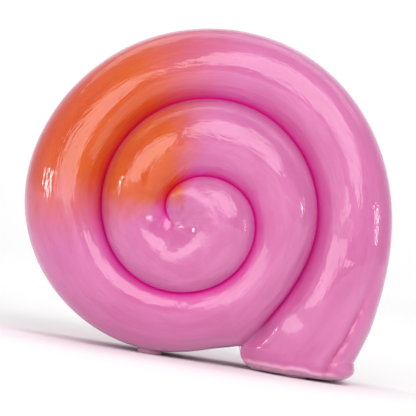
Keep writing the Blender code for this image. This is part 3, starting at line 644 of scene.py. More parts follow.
def steady_angles(outline):
    """Each point's angle about the hub, in degrees, averaged with its neighbours' to keep them in order."""
    angles = []
    for x, z in outline:
        angle = math.degrees(math.atan2(z - HUB_Z, x - HUB_X))
        while angles and angle > angles[-1] + 180:
            angle -= 360
        angles.append(angle)
    count = len(angles)
    around = 24
    steady = []
    for k in range(count):
        near = []
        for n in range(k - around, k + around + 1):
            near.append(angles[n % count] - 360 * (n // count))
        steady.append(sum(near) / len(near))
    return steady


def ringed_half(made):
    """The rear casing's outer form: one whorl from the door's edge to the rim, closed by a flat disc."""
    for layer in ("coil", "near"):
        made.loops.layers.uv.new(layer)
    inner_radius = RECESS_RADIUS + 0.5
    outline = front_boundary()
    rows, boundary = [], []
    for k, (point, away) in enumerate(zip(outline, steady_angles(outline))):
        top = inward(point, RIM_INSET)
        inner = hub_point(inner_radius, away)
        middle = section(MOUTH_TURNS[1], inner, top, REAR_EDGE_HEIGHT, RIM_HEIGHT, 1.0, 200.0 + away)
        points = [(*inner, REAR_EDGE_HEIGHT)] + middle + [(*top, RIM_HEIGHT)]
        rows.append([made.verts.new(place(x, z, -h)) for x, z, h in points])
        boundary.append((rows[-1][-1], point))
    count = len(rows)
    marks = []
    for k in range(count + 1):
        shares = [j / ACROSS for j in range(ACROSS + 1)]
        # The last entry is the rim mark, for the painted sheen towards the outer edge.
        marks.append([(k / count, s, math.exp(-s * 14.0), math.exp(-(1 - s) * 5.0)) for s in shares])
    marked_grid(made, rows + rows[:1], marks)
    made.faces.new([row[0] for row in rows])
    side_and_seam(made, boundary, facing=-1)
    mark_lip(made)
    return made


def hub_point(radius, angle):
    """Plan point at a distance and an angle, in degrees, from the hub."""
    turn = math.radians(angle)
    return HUB_X + radius * math.cos(turn), HUB_Z + radius * math.sin(turn)


def reach(outline, angle):
    """Distance from the hub to the outline in one direction."""
    dx, dz = math.cos(math.radians(angle)), math.sin(math.radians(angle))
    nearest = math.inf
    for k, (px, pz) in enumerate(outline):
        qx, qz = outline[(k + 1) % len(outline)]
        ex, ez = qx - px, qz - pz
        cross = dx * ez - dz * ex
        if abs(cross) < 1e-9:
            continue
        away = ((px - HUB_X) * ez - (pz - HUB_Z) * ex) / cross
        share = ((px - HUB_X) * dz - (pz - HUB_Z) * dx) / cross
        if away > 0 and -1e-6 <= share <= 1 + 1e-6:
            nearest = min(nearest, away)
    return nearest


def cavity_radius(outline, angle):
    """The hollow's reach from the hub: the nearest of the outline round about, less the wall."""
    return min(reach(outline, angle + turn) for turn in (-CAVITY_STEP, 0, CAVITY_STEP)) - WALL


def cavity(facing):
    """The hollow of one casing, with its far edge chamfered."""
    outline = front_boundary()[::3]
    angles = range(0, 360, CAVITY_STEP)
    levels = ((-1.0, 0.0), (RIM_HEIGHT - 0.5, 0.0), (CAVITY_DEPTH, 2.5))
    made = bmesh.new()
    loops = []
    for height, more in levels:
        loop = []
        for angle in angles:
            x, z = hub_point(cavity_radius(outline, angle) - more, angle)
            loop.append(made.verts.new(place(x, z, facing * height)))
        loops.append(loop)
    for here, there in zip(loops, loops[1:]):
        strip_between(made, here, there)
    made.faces.new(loops[0])
    made.faces.new(loops[-1])
    split_and_turned_out(made)
    return made


# ---------------------------------------------------------------- materials


class Surface:
    """One Principled material and short ways of adding nodes to it."""

    def __init__(self, name, **values):
        self.material = bpy.data.materials.new(name)
        self.material.use_nodes = True
        self.nodes = self.material.node_tree.nodes
        self.links = self.material.node_tree.links
        self.shader = self.nodes["Principled BSDF"]
        self.set(**values)

    def set(self, **values):
        for key, value in values.items():
            socket = self.shader.inputs[key.replace("_", " ")]
            if isinstance(value, bpy.types.NodeSocket):
                self.links.new(value, socket)
            else:
                socket.default_value = value

    def add(self, kind, inputs=None, output=0, **settings):
        """Adds a node and returns one of its outputs."""
        node = self.nodes.new(kind)
        for key, value in settings.items():
            setattr(node, key, value)
        for key, value in (inputs or {}).items():
            if isinstance(value, bpy.types.NodeSocket):
                self.links.new(value, node.inputs[key])
            else:
                node.inputs[key].default_value = value
        return node.outputs[output]

    def math(self, operation, *values):
        return self.add("ShaderNodeMath", dict(enumerate(values)), operation=operation)

    def times(self, a, b):
        return self.math("MULTIPLY", a, b)

    def plus(self, a, b):
        return self.math("ADD", a, b)

    def minus(self, a, b):
        return self.math("SUBTRACT", a, b)

    def spot(self):
        """Place in the object's own frame, in metres."""
        return self.add("ShaderNodeTexCoord", output=3)

    def mix(self, share, a, b):
        inputs = {0: share, 6: a, 7: b}
        return self.add("ShaderNodeMix", inputs, 2, data_type="RGBA")

    def span(self, value, low, high, to_low=0.0, to_high=1.0):
        """Smooth step of a value from one range into another."""
        inputs = {0: value, 1: low, 2: high, 3: to_low, 4: to_high}
        return self.add("ShaderNodeMapRange", inputs, interpolation_type="SMOOTHSTEP")

    def noise(self, where, scale, detail=3.0, roughness=0.5):
        inputs = {"Vector": where, "Scale": scale, "Detail": detail, "Roughness": roughness}
        return self.add("ShaderNodeTexNoise", inputs)

    def stretched(self, where, scale):
        return self.add("ShaderNodeMapping", {"Vector": where, "Scale": scale})

    def bump(self, height, distance, strength=1.0):
        inputs = {"Height": height, "Distance": distance, "Strength": strength}
        bumped = self.add("ShaderNodeBump", inputs)
        self.set(Normal=bumped, Coat_Normal=bumped)


def rgb(red, green, blue):
    """Linear colour from 0 to 255 display values."""

    def linear(level):
        level /= 255.0
        return level / 12.92 if level <= 0.04045 else ((level + 0.055) / 1.055) ** 2.4

    return (linear(red), linear(green), linear(blue), 1.0)


def shell_glaze():
    """Pink lacquer with an orange sector, deeper colour and painted shade at the grooves, painted sheen on
    the rim, fine marks along the coil.
    """
    s = Surface("shell_glaze", Coat_Weight=1.0, Coat_Roughness=0.02, Coat_IOR=1.58, IOR=1.5)
    s.set(Specular_IOR_Level=0.08)
    s.set(Subsurface_Weight=0.10, Subsurface_Radius=(1.0, 0.35, 0.45), Subsurface_Scale=0.003)
    spot = s.spot()
    coil = s.add("ShaderNodeUVMap", uv_map="coil")
    near = s.add("ShaderNodeSeparateXYZ", {0: s.add("ShaderNodeUVMap", uv_map="near")}, 0)
    rim = near.node.outputs[1]
    lip = s.add("ShaderNodeSeparateXYZ", {0: s.add("ShaderNodeUVMap", uv_map="lip")}, 0)
    crease_shade = lip.node.outputs[1]
    coil_turns = s.add("ShaderNodeSeparateXYZ", {0: coil}, 0)
    across = coil_turns.node.outputs[1]
    split = s.add("ShaderNodeSeparateXYZ", {0: spot}, 0)
    x = s.minus(split, SPIRAL_X * MM)
    z = s.minus(split.node.outputs[2], SPIRAL_Z * MM)
    soft = s.noise(spot, 45.0, 2.0)
    broad = s.noise(s.stretched(coil, (11.0, 6.0, 1.0)), 1.0, 3.0)
    drift = s.times(s.noise(s.stretched(coil, (7.0, 1.5, 1.0)), 1.0, 1.0), 9.0)
    along = s.times(coil_turns, 30.0)
    over = s.plus(s.times(across, 18.0), drift)
    streak = s.noise(s.add("ShaderNodeCombineXYZ", {0: along, 1: over}), 1.0, 3.0, 0.5)
    pits = s.noise(spot, 1500.0, 1.0)

    # How far round the coil a point is from the middle of the orange sector.
    turned_x = s.plus(s.times(x, ORANGE_COS), s.times(z, ORANGE_SIN))
    turned_z = s.minus(s.times(z, ORANGE_COS), s.times(x, ORANGE_SIN))
    away = s.math("ABSOLUTE", s.math("ARCTAN2", turned_z, turned_x))
    away = s.plus(away, s.times(s.minus(soft, 0.5), 0.45))
    away = s.plus(away, s.times(s.minus(streak, 0.5), 0.22))
    orange = s.span(away, 0.42, 1.2, 1.0, 0.0)
    orange = s.times(orange, s.span(across, 0.70, 1.05, 1.0, 0.35))
    eye_x = s.minus(x, EYE_MIDDLE[0] * MM)
    eye_z = s.minus(z, EYE_MIDDLE[1] * MM)
    radius = s.math("SQRT", s.plus(s.times(eye_x, eye_x), s.times(eye_z, eye_z)))
    orange = s.times(orange, s.span(radius, 0.003, 0.010))

    pink = s.mix(s.span(broad, 0.35, 0.7), rgb(183, 91, 143), rgb(190, 103, 153))
    warm = s.mix(s.span(broad, 0.3, 0.7), rgb(184, 64, 0), rgb(190, 76, 4))
    colour = s.mix(orange, pink, warm)
    deep = s.mix(orange, rgb(222, 6, 156), rgb(212, 0, 42))
    # The groove mark is the groove's deeper colour plus painted shade in a band beside it.
    groove_and_shade = s.times(s.span(near, 0.06, 0.9), s.span(radius, 0.0, 0.005, 0.2, 0.95))
    colour = s.mix(groove_and_shade, colour, deep)
    # Painted sheen: the rim and the casing's side are lightened towards pale pink, as if catching a grazing
    # reflection.
    colour = s.mix(s.times(rim, 0.35), colour, rgb(232, 160, 204))
    colour = s.mix(s.times(lip, 0.65), colour, rgb(238, 190, 214))
    # Painted shade: the mouth's crease is darkened as if shade fell in it.
    colour = s.mix(s.times(crease_shade, 0.45), colour, rgb(196, 50, 130))
    s.set(Base_Color=colour)
    s.set(Roughness=s.span(streak, 0.3, 0.75, 0.26, 0.42))
    settled = s.span(radius, 0.003, 0.012, 0.25, 1.0)
    hair = s.add("ShaderNodeCombineXYZ", {0: s.times(along, 1.6), 1: s.times(over, 3.4)})
    hair = s.times(s.noise(hair, 1.0, 1.0), 0.32)
    streak_height = s.times(s.plus(streak, hair), settled)
    height = s.plus(streak_height, s.times(broad, 1.6))
    height = s.plus(height, s.span(pits, 0.68, 0.80, 0.0, -0.3))
    s.bump(height, 0.00012, 1.0)
    return s.material


def raw_resin():
    """Unlacquered casting inside the shell."""
    s = Surface("raw_resin", Subsurface_Weight=0.1, Subsurface_Scale=0.002)
    spot = s.spot()
    mottle = s.noise(spot, 160.0, 4.0)
    fine = s.noise(spot, 900.0, 4.0, 0.6)
    s.set(Base_Color=s.mix(mottle, rgb(196, 92, 140), rgb(214, 122, 164)))
    s.set(Roughness=s.span(fine, 0.3, 0.7, 0.45, 0.62))
    s.bump(fine, 0.0001, 0.5)
    return s.material


def metal(name, colour, roughness, along=(1.0, 1.0, 1.0), scale=600.0, metallic=1.0):
    """Metal with fine machining marks stretched one way."""
    s = Surface(name, Metallic=metallic)
    spot = s.spot()
    marks = s.noise(s.stretched(spot, along), scale, 3.0)
    dull = s.noise(spot, 90.0, 3.0)
    darker = tuple(c * 0.82 for c in colour[:3]) + (1.0,)
    s.set(Base_Color=s.mix(dull, darker, colour))
    s.set(Roughness=s.span(marks, 0.25, 0.75, roughness * 0.7, roughness * 1.4))
    s.bump(marks, 0.00003, 0.4)
    return s.material


def cast_iron():
    """Dark sand-cast iron under a thin coat of paint."""
    s = Surface("cast_iron", Metallic=0.6)
    spot = s.spot()
    grains = s.noise(spot, 900.0, 4.0, 0.7)
    patches = s.noise(spot, 140.0, 3.0)
    s.set(Base_Color=s.mix(patches, rgb(62, 62, 66), rgb(98, 96, 98)))
    s.set(Roughness=s.span(grains, 0.3, 0.7, 0.5, 0.8))
    s.bump(s.plus(grains, patches), 0.00018, 0.9)
    return s.material


def moulded(name, colour, roughness, grain=1400.0, depth=0.00003, subsurface=0.05):
    """Moulded plastic or silicone with a fine even grain and faint unevenness of colour."""
    s = Surface(name, Subsurface_Weight=subsurface, Subsurface_Scale=0.001)
    spot = s.spot()
    fine = s.noise(spot, grain, 2.0)
    broad = s.noise(spot, 70.0, 3.0)
    darker = tuple(c * 0.88 for c in colour[:3]) + (1.0,)
    s.set(Base_Color=s.mix(broad, darker, colour))
    s.set(Roughness=s.span(fine, 0.3, 0.7, roughness * 0.85, roughness * 1.15))
    s.bump(fine, depth, 0.6)
    return s.material


def card():
    """Grey-brown wound board with short fibres."""
    s = Surface("core_card", Roughness=0.85)
    spot = s.spot()
    fibre = s.noise(s.stretched(spot, (1.0, 6.0, 1.0)), 700.0, 5.0, 0.7)
    s.set(Base_Color=s.mix(fibre, rgb(150, 124, 92), rgb(196, 170, 134)))
    s.bump(fibre, 0.00008, 0.8)
    return s.material


def felt():
    s = Surface("felt", Roughness=0.95, Sheen_Weight=0.4)
    spot = s.spot()
    fibre = s.noise(spot, 2200.0, 6.0, 0.8)
    s.set(Base_Color=s.mix(fibre, rgb(70, 66, 70), rgb(120, 114, 118)))
    s.bump(fibre, 0.0002, 0.9)
    return s.material


def wound_film():
    """Side and face of a roll: layers show as fine rings, and the film is clear and slightly yellow."""
    s = Surface("wound_film", Roughness=0.18, Coat_Weight=0.4, Coat_Roughness=0.05)
    s.set(Subsurface_Weight=0.3, Subsurface_Scale=0.004, Subsurface_Radius=(1.0, 0.9, 0.6))
    spot = s.spot()
    split = s.add("ShaderNodeSeparateXYZ", {0: spot}, 0)
    x = s.minus(split, (SPIRAL_X + HUB_X) * MM)
    z = s.minus(split.node.outputs[2], (SPIRAL_Z + HUB_Z) * MM)
    squares = s.plus(s.times(x, x), s.times(z, z))
    radius = s.math("SQRT", squares)
    rings = s.add("ShaderNodeCombineXYZ", {0: s.times(radius, 2600.0)})
    layers = s.noise(rings, 1.0, 4.0, 0.7)
    s.set(Base_Color=s.mix(layers, rgb(206, 186, 128), rgb(236, 224, 184)))
    s.set(Roughness=s.span(layers, 0.3, 0.7, 0.12, 0.3))
    s.bump(layers, 0.00004, 0.6)
    return s.material


def clear_film():
    """One layer of clear tape."""
    s = Surface("clear_film", Roughness=0.08, IOR=1.47, Transmission_Weight=0.75, Coat_Weight=0.3)
    spot = s.spot()
    haze = s.noise(s.stretched(spot, (1.0, 0.12, 1.0)), 260.0, 3.0)
    s.set(Base_Color=s.mix(haze, rgb(240, 230, 200), rgb(250, 246, 230)))
    s.set(Roughness=s.span(haze, 0.3, 0.7, 0.05, 0.2))
    s.bump(haze, 0.00004, 0.4)
    return s.material


# ---------------------------------------------------------------- pieces


FINISH = {}


def linked(made):
    bpy.context.scene.collection.objects.link(made)
    return made


def new_object(name, mesh_source, finish, smooth_angle=38.0):
    mesh = bpy.data.meshes.new(name)
    mesh_source.to_mesh(mesh)
    mesh_source.free()
    mesh.shade_smooth()
    mesh.set_sharp_from_angle(angle=math.radians(smooth_angle))
    mesh.materials.append(FINISH[finish])
    return linked(bpy.data.objects.new(name, mesh))


def carve(casing, tool, operation="DIFFERENCE"):
    """Cuts or joins at once, and leaves only the finished mesh. The tool's own finish goes onto the cut."""
    change = casing.modifiers.new(tool.name, "BOOLEAN")
    change.operation = operation
    change.solver = "MANIFOLD"
    change.object = tool
    change.material_mode = "TRANSFER"
    bpy.context.view_layer.update()
    done = casing.evaluated_get(bpy.context.evaluated_depsgraph_get())
    mesh = bpy.data.meshes.new_from_object(done, depsgraph=bpy.context.evaluated_depsgraph_get())
    casing.modifiers.clear()
    old = casing.data
    casing.data = mesh
    bpy.data.meshes.remove(old)
    tool_mesh = tool.data
    bpy.data.objects.remove(tool)
    bpy.data.meshes.remove(tool_mesh)


def inside(name, source):
    return new_object(name, source, "raw_resin")


def stands_for(piece, node, body):
    """This piece is shown in place of a CAD node and moves with the node's body."""
    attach(piece, body)
    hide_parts(node)
    return piece


def glazed(name, source):
    return new_object(name, source, "shell_glaze")


def axis_at(radius, angle):
    """Axis from rear to front at a distance and an angle from the hub."""
    return along_y(*hub_point(radius, angle))


HUB_AXIS = along_y(HUB_X, HUB_Z)
MAGNET_AXIS = along_y(HUB_X + MAGNET_X, HUB_Z)
PIN_AXIS = along_z(HUB_X + HINGE_X, -HINGE_HEIGHT)


def mouth_opening():
    """The tape's mouth: a rounded window through the mouth's outer wall, across both casings."""
    low, high = MOUTH_Z
    corner = 5.0
    window = []
    for side, start in ((1, 0), (-1, 90)):
        for k in range(5):
            turn = math.radians(start + 22.5 * k)
            across = side * (MOUTH_HALF - corner) + corner * math.cos(turn)
            window.append((across, high - corner + corner * math.sin(turn)))
    window += [(-MOUTH_HALF, low), (MOUTH_HALF, low)]
    return prism(*([place(x, z, h) for h, z in window] for x in (47.0, 70.0)))


def pad_recess(facing):
    """Shallow round seats for the two foot pads of one casing."""
    seats = [
        rod(PAD_RADIUS + GAP, -50.0, PAD_TOP + GAP, along_z(x, h)) for x, h in FOOT_PADS if h * facing > 0
    ]
    return merged(*seats)


def casing_posts(facing):
    """Screw posts of one casing, reaching from the hollow's floor to just short of the seam."""
    posts = []
    for radius, angle in CASING_SCREWS:
        start, end = sorted((facing * (GAP / 2 + 0.1), facing * (CAVITY_DEPTH + 1.0)))
        posts.append(rod(POST_RADIUS, start, end, axis_at(radius, angle), 14))
    return posts


def finish_casing(casing, node, body="shell"):
    casing.data.shade_smooth()
    casing.data.set_sharp_from_angle(angle=math.radians(34))
    stands_for(casing, node, body)


def build_front_casing():
    front = glazed("front_shell", whorled_half(bmesh.new()))
    carve(front, inside("front_cavity", cavity(1)))
    boss = rod(9.0, 11.2, CAVITY_DEPTH + 1.0, HUB_AXIS)
    carve(front, inside("front_posts", merged(boss, *casing_posts(1))), "UNION")
    carve(front, inside("front_mouth", mouth_opening()))
    holes = [rod(AXLE_RADIUS + GAP, 9.0, 19.3, HUB_AXIS)]
    bore = SHANK_RADIUS + GAP
    for at in CASING_SCREWS:
        holes.append(rod(bore, -1.0, CASING_SCREW_END + HOLE_BEYOND, axis_at(*at), 12))
    for axis in (*(axis_at(*at) for at in BALLAST_SCREWS), along_y(*HOLDER_SCREW)):
        holes.append(rod(bore, 9.0, FLOOR_SCREW_END + HOLE_BEYOND, axis, 12))
    carve(front, inside("front_holes", merged(*holes)))
    carve(front, inside("front_pad_seats", pad_recess(1)))
    finish_casing(front, "front_casing")


def build_rear_casing():
    rear = glazed("rear_shell", ringed_half(bmesh.new()))
    carve(rear, inside("rear_cavity", cavity(-1)))
    carve(rear, inside("rear_posts", merged(*casing_posts(-1))), "UNION")
    carve(rear, inside("rear_mouth", mouth_opening()))
    opening = [
        (0.0, -5.0),
        (OPENING_RADIUS, -5.0),
        (OPENING_RADIUS, -RECESS_HEIGHT),
        (RECESS_RADIUS, -RECESS_HEIGHT),
        (RECESS_RADIUS, FAR_BEHIND),
        (0.0, FAR_BEHIND),
    ]
    carve(rear, inside("door_opening", turned(opening, HUB_AXIS, 180)))
    holes = []
    for radius, angle in CASING_SCREWS:
        bore = [
            (0.0, 1.0),
            (SHANK_RADIUS + GAP, 1.0),
            (SHANK_RADIUS + GAP, COUNTERBORE_HEIGHT),
            (COUNTERBORE_RADIUS, COUNTERBORE_HEIGHT),
            (COUNTERBORE_RADIUS, FAR_BEHIND),
            (0.0, FAR_BEHIND),
        ]
        holes.append(turned(bore, axis_at(radius, angle), 48))
    holes.append(rod(MAGNET_RADIUS + MAGNET_PLAY, -14.0, -20.0, MAGNET_AXIS, 16))
    carve(rear, inside("rear_holes", merged(*holes)))
    pocket_x = (HUB_X + HINGE_X - KNUCKLE_RADIUS - 0.5, HUB_X - RECESS_RADIUS + 1.0)
    pocket_z = (HUB_Z - KNUCKLE_HALF - 0.4, HUB_Z + KNUCKLE_HALF + 0.4)
    carve(rear, glazed("hinge_pocket", block(pocket_x, pocket_z, (FAR_BEHIND, -15.2))))
    carve(rear, inside("hinge_bore", rod(HINGE_PIN_RADIUS + 0.2, HUB_Z - 8.0, HUB_Z + 8.0, PIN_AXIS, 12)))
    scoop = bmesh.new()
    bmesh.ops.create_icosphere(scoop, subdivisions=5, radius=7.0 * MM)
    bmesh.ops.translate(scoop, vec=place(HUB_X + 38.0, HUB_Z, -23.0), verts=scoop.verts)
    carve(rear, glazed("finger_scoop", scoop))
    carve(rear, inside("rear_pad_seats", pad_recess(-1)))
    finish_casing(rear, "rear_casing")


def door_groove(turn):
    """Plan point, from the hub, of the door's own groove, which reaches the edge at the last turn."""
    share = min(turn / DOOR_TURNS, 1.0)
    radius = 4.5 * (DOOR_RADIUS / 4.5) ** share
    angle = math.radians(20.0 - turn)
    return HUB_X + radius * math.cos(angle), HUB_Z + radius * math.sin(angle)


def door_height(turn):
    return 21.5 - 3.7 * min(turn / DOOR_TURNS, 1.0)


def coiled_disc():
    """The door's disc: flat inside, with a coil outside that dies out where its groove meets the edge."""
    per_turn = round(360 / DOOR_STEP)
    last = round(DOOR_TURNS / DOOR_STEP)
    made = bmesh.new()
    for layer in ("coil", "near"):
        made.loops.layers.uv.new(layer)
    edge = [made.verts.new(place(*door_groove(0), -door_height(0)))]
    rows = [[edge[0]] * (DOOR_ACROSS + 1)]
    marks = [[(0.0, 0.0, 0.3, 0.0)] * (DOOR_ACROSS + 1)]
    for k in range(1, last + per_turn + 1):
        turn = DOOR_STEP * k
        outer, height = door_groove(turn), door_height(turn)
        width = DOOR_RADIUS / 4
        if k == last + per_turn:
            rows.append([edge[last]] * (DOOR_ACROSS + 1))
        else:
            edge.append(made.verts.new(place(*outer, -height)))
            start = max(k - per_turn, 0)
            inner, inner_height = door_groove(start * DOOR_STEP), door_height(start * DOOR_STEP)
            width = math.dist(inner, outer)
            row = [edge[start]]
            for j in range(1, DOOR_ACROSS):
                across, rise = arch(j / DOOR_ACROSS, math.radians(50))
                chord = inner_height + (height - inner_height) * across
                share = j / DOOR_ACROSS
                uneven = 0.6 * hand_worked(turn, share, 500.0) * math.sin(math.pi * share)
                at = mixed(inner, outer, across)
                row.append(made.verts.new(place(*at, -(chord + 0.36 * width * rise + uneven))))
            rows.append(row + [edge[k]])
        mark = []
        for j in range(DOOR_ACROSS + 1):
            share = j / DOOR_ACROSS
            start_groove = math.exp(-share * width / 1.3) if turn > 360.0 else 0.0
            end_groove = math.exp(-(1.0 - share) * width / 1.3) if k <= last else 0.0
            mark.append((turn / 360.0, share, 0.8 * max(start_groove, end_groove), 0.0))
        marks.append(mark)
    marked_grid(made, rows, marks)
    rim = edge[last : last + per_turn]
    base = []
    for k in range(per_turn):
        x, z = door_groove(DOOR_TURNS + DOOR_STEP * k)
        base.append(made.verts.new(place(x, z, DOOR_INSIDE)))
    strip_between(made, rim, base)
    made.faces.new(base)
    split_and_turned_out(made)
    mark_lip(made)
    return made


def build_door():
    door = glazed("door_shell", coiled_disc())
    low, high = HUB_Z - KNUCKLE_HALF, HUB_Z + KNUCKLE_HALF
    arm_x = (HUB_X + HINGE_X + 0.1, HUB_X - DOOR_RADIUS + 3.0)
    arm_height = (-HINGE_HEIGHT - 0.1, DOOR_INSIDE - 0.1)
    carve(door, glazed("door_arm", block(arm_x, (low + 0.1, high - 0.1), arm_height)), "UNION")
    knuckle = [
        (0.0, low),
        (KNUCKLE_RADIUS - 0.3, low),
        (KNUCKLE_RADIUS, low + 0.3),
        (KNUCKLE_RADIUS, high - 0.3),
        (KNUCKLE_RADIUS - 0.3, high),
        (0.0, high),
    ]
    carve(door, glazed("door_knuckle", turned(knuckle, PIN_AXIS, 40)), "UNION")
    bore = rod(HINGE_PIN_RADIUS + RUNNING_GAP, low - 1.0, high + 1.0, PIN_AXIS, 24)
    carve(door, inside("door_bore", bore))
    seat = rod(MAGNET_RADIUS + MAGNET_PLAY, -10.0, DOOR_INSIDE - 1.3, MAGNET_AXIS, 32)
    carve(door, inside("door_magnet_seat", seat))
    finish_casing(door, "rear_door", "door")
    pin = domed(HINGE_PIN_RADIUS, HUB_Z - 7.7, HUB_Z + 7.7, PIN_AXIS, 0.3)
    shown("hinge_pin", "pin_shown", pin, "steel")
    inner = domed(MAGNET_RADIUS, DOOR_INSIDE - 1.15, DOOR_INSIDE - 0.05, MAGNET_AXIS, 0.15)
    shown("door_magnet", "door_magnet_shown", inner, "magnet", "door")
    fixed = domed(MAGNET_RADIUS, -RECESS_HEIGHT + 0.05, -14.15, MAGNET_AXIS, 0.15)
    shown("casing_magnet", "casing_magnet_shown", fixed, "magnet")


# ---------------------------------------------------------------- turning parts


def shown(node, name, source, finish, body="shell", smooth_angle=32.0):
    """A finer piece in place of a CAD node, in the finish whose record slot has the same name."""
    piece = new_object(name, source, finish, smooth_angle)
    return stands_for(piece, node, body)


def domed(radius, start, end, axis, edge):
    """A rod with chamfered ends."""
    profile = [
        (0.0, start),
        (radius - edge, start),
        (radius - edge * 0.3, start + edge * 0.3),
        (radius, start + edge),
        (radius, end - edge),
        (radius - edge * 0.3, end - edge * 0.3),
        (radius - edge, end),
        (0.0, end),
    ]
    return turned(profile, axis, 48)


def rounded(profile, edge):
    """A closed profile with each of its corners cut back by a small edge."""
    cut = []
    count = len(profile)
    for k, (radius, along) in enumerate(profile):
        for other in (profile[k - 1], profile[(k + 1) % count]):
            long = math.dist((radius, along), other)
            share = min(edge / long, 0.4)
            cut.append((radius + (other[0] - radius) * share, along + (other[1] - along) * share))
    return cut


def build_axle():
    low = -12.6
    profile = [
        (0.0, 19.0),
        (AXLE_RADIUS - 0.4, 19.0),
        (AXLE_RADIUS, 18.6),
        (AXLE_RADIUS, CLIP_HEIGHT + 0.5),
        (AXLE_GROOVE, CLIP_HEIGHT + 0.5),
        (AXLE_GROOVE, CLIP_HEIGHT - 0.5),
        (AXLE_RADIUS, CLIP_HEIGHT - 0.5),
        (AXLE_RADIUS, low + 0.3),
        (AXLE_RADIUS - 0.3, low),
        (0.8, low),
        (0.0, low + 0.5),
    ]
    shown("axle", "axle_shown", turned(profile, HUB_AXIS, 64), "steel")


def build_clip():
    """Open snap ring in the axle's groove, wider at its two ends."""
    steps = 48
    outer, inner = [], []
    for k in range(steps + 1):
        share = k / steps
        ears = 0.0 if 0.07 < share < 0.93 else 0.35
        outer.append(hub_point(4.05 + ears, 35 + 290 * share))
        inner.append(hub_point(AXLE_GROOVE + 0.12, 325 - 290 * share))
    shown("axle_clip", "clip_shown", slab(outer + inner, CLIP_HEIGHT + 0.3, CLIP_HEIGHT - 0.3), "steel")


def build_roll():
    half = TAPE_WIDTH / 2
    washer = rounded([(3.0, 10.3), (7.5, 10.3), (7.5, 11.0), (3.0, 11.0)], 0.2)
    shown("felt_washer", "washer_shown", turned(washer, HUB_AXIS, 72), "felt")
    hub = [
        (5.2, HUB_HALF),
        (FLANGE_RADIUS, HUB_HALF + 0.3),
        (FLANGE_RADIUS, HUB_HALF - 0.4),
        (CORE_INNER - GAP, HUB_HALF - 0.4),
        (CORE_INNER - GAP, -HUB_HALF + 0.8),
        (CORE_INNER - GAP - 0.7, -HUB_HALF),
        (11.0, -HUB_HALF),
        (11.0, 1.0),
        (7.0, 1.0),
        (7.0, -HUB_HALF),
        (5.2, -HUB_HALF),
    ]
    body = turned(rounded(hub, 0.25), HUB_AXIS, 96)
    body = shown("tape_hub", "hub_shown", body, "hub_plastic", "reel")
    # Six moulded webs join the hub's inner and outer walls.
    webs = []
    for k in range(6):
        turn = math.radians(60 * k)
        along, aside = (math.cos(turn), math.sin(turn)), (-math.sin(turn) * 0.5, math.cos(turn) * 0.5)
        corners = [(6.6, -1), (11.4, -1), (11.4, 1), (6.6, 1)]
        web = []
        for r, u in corners:
            web.append((HUB_X + r * along[0] + u * aside[0], HUB_Z + r * along[1] + u * aside[1]))
        webs.append(slab(web, 1.5, -HUB_HALF + 1.2))
    carve(body, new_object("hub_webs", merged(*webs), "hub_plastic"), "UNION")
    body.data.set_sharp_from_angle(angle=math.radians(32))
    bush = (AXLE_RADIUS + RUNNING_GAP, HUB_HALF + 0.2), (5.0, HUB_HALF + 0.2)
    bush += (5.0, -HUB_HALF - 0.9), (AXLE_RADIUS + RUNNING_GAP, -HUB_HALF - 0.9)
    bush = turned(rounded(bush, 0.25), HUB_AXIS, 64)
    shown("hub_bushing", "bushing_shown", bush, "bushing", "reel")
    core = [(CORE_INNER, half - 0.3), (CORE_OUTER, half - 0.3), (CORE_OUTER, -half), (CORE_INNER, -half)]
    shown("tape_core", "core_shown", turned(rounded(core, 0.12), HUB_AXIS, 128), "core_card", "reel")
    inner = CORE_OUTER + 0.1
    # Layers that stand a few hundredths proud of one another, as a wound roll's do.
    layers = 28
    film = [(inner, half - 0.4), (inner, -half + 0.1)]
    for side, level in ((-1, -half), (1, half - 0.3)):
        steps = range(layers + 1) if side < 0 else range(layers, -1, -1)
        for k in steps:
            radius = inner + 0.3 + (ROLL_RADIUS - inner - 0.6) * k / layers
            film.append((radius, level - side * 0.05 * (1 + noise.noise(Vector((k * 0.9, side, 4.0))))))
        if side < 0:
            film += [(ROLL_RADIUS - 0.05, -half + 0.15), (ROLL_RADIUS, -half + 0.35)]
            film += [(ROLL_RADIUS, half - 0.65), (ROLL_RADIUS - 0.05, half - 0.45)]
    shown("tape_roll", "roll_shown", turned(film, HUB_AXIS, 144), "tape_film", "reel")


# ---------------------------------------------------------------- tape guide and cutter


def tape_path():
    """Middle line of the free tape: off the roll, round under the guide roller, then out to the blade."""
    roll_reach = ROLL_RADIUS + 0.2
    roller_reach = ROLLER_RADIUS + 0.2
    dx, dz = ROLLER_X - HUB_X, ROLLER_Z - HUB_Z
    lean = math.degrees(math.atan2(dz, dx) + math.acos((roll_reach + roller_reach) / math.hypot(dx, dz)))
    path = [hub_point(roll_reach, lean + 8.0 - 0.5 * k) for k in range(17)]
    for k in range(25):
        turn = math.radians(lean + 180 + (90 - lean) * k / 24)
        path.append((ROLLER_X + roller_reach * math.cos(turn), ROLLER_Z + roller_reach * math.sin(turn)))
    level = path[-1][1]
    for k in range(1, 13):
        share = k / 12
        path.append((path[40][0] + (BLADE_X - 0.35 - path[40][0]) * share, level))
    return path


def build_tape_lead():
    path = tape_path()
    sides = ([], [])
    for k, (x, z) in enumerate(path):
        ax, az = path[max(k - 1, 0)]
        bx, bz = path[min(k + 1, len(path) - 1)]
        long = math.hypot(bx - ax, bz - az)
        nx, nz = -(bz - az) / long, (bx - ax) / long
        for side, sign in zip(sides, (0.5, -0.5)):
            side.append((x + nx * sign * TAPE_THICKNESS, z + nz * sign * TAPE_THICKNESS))
    half = TAPE_WIDTH / 2
    lead = shown("tape_lead", "lead_shown", slab(sides[0] + sides[1][::-1], half - 0.3, -half), "tape_film")
    lead.data.materials[0] = FINISH["clear_film"]


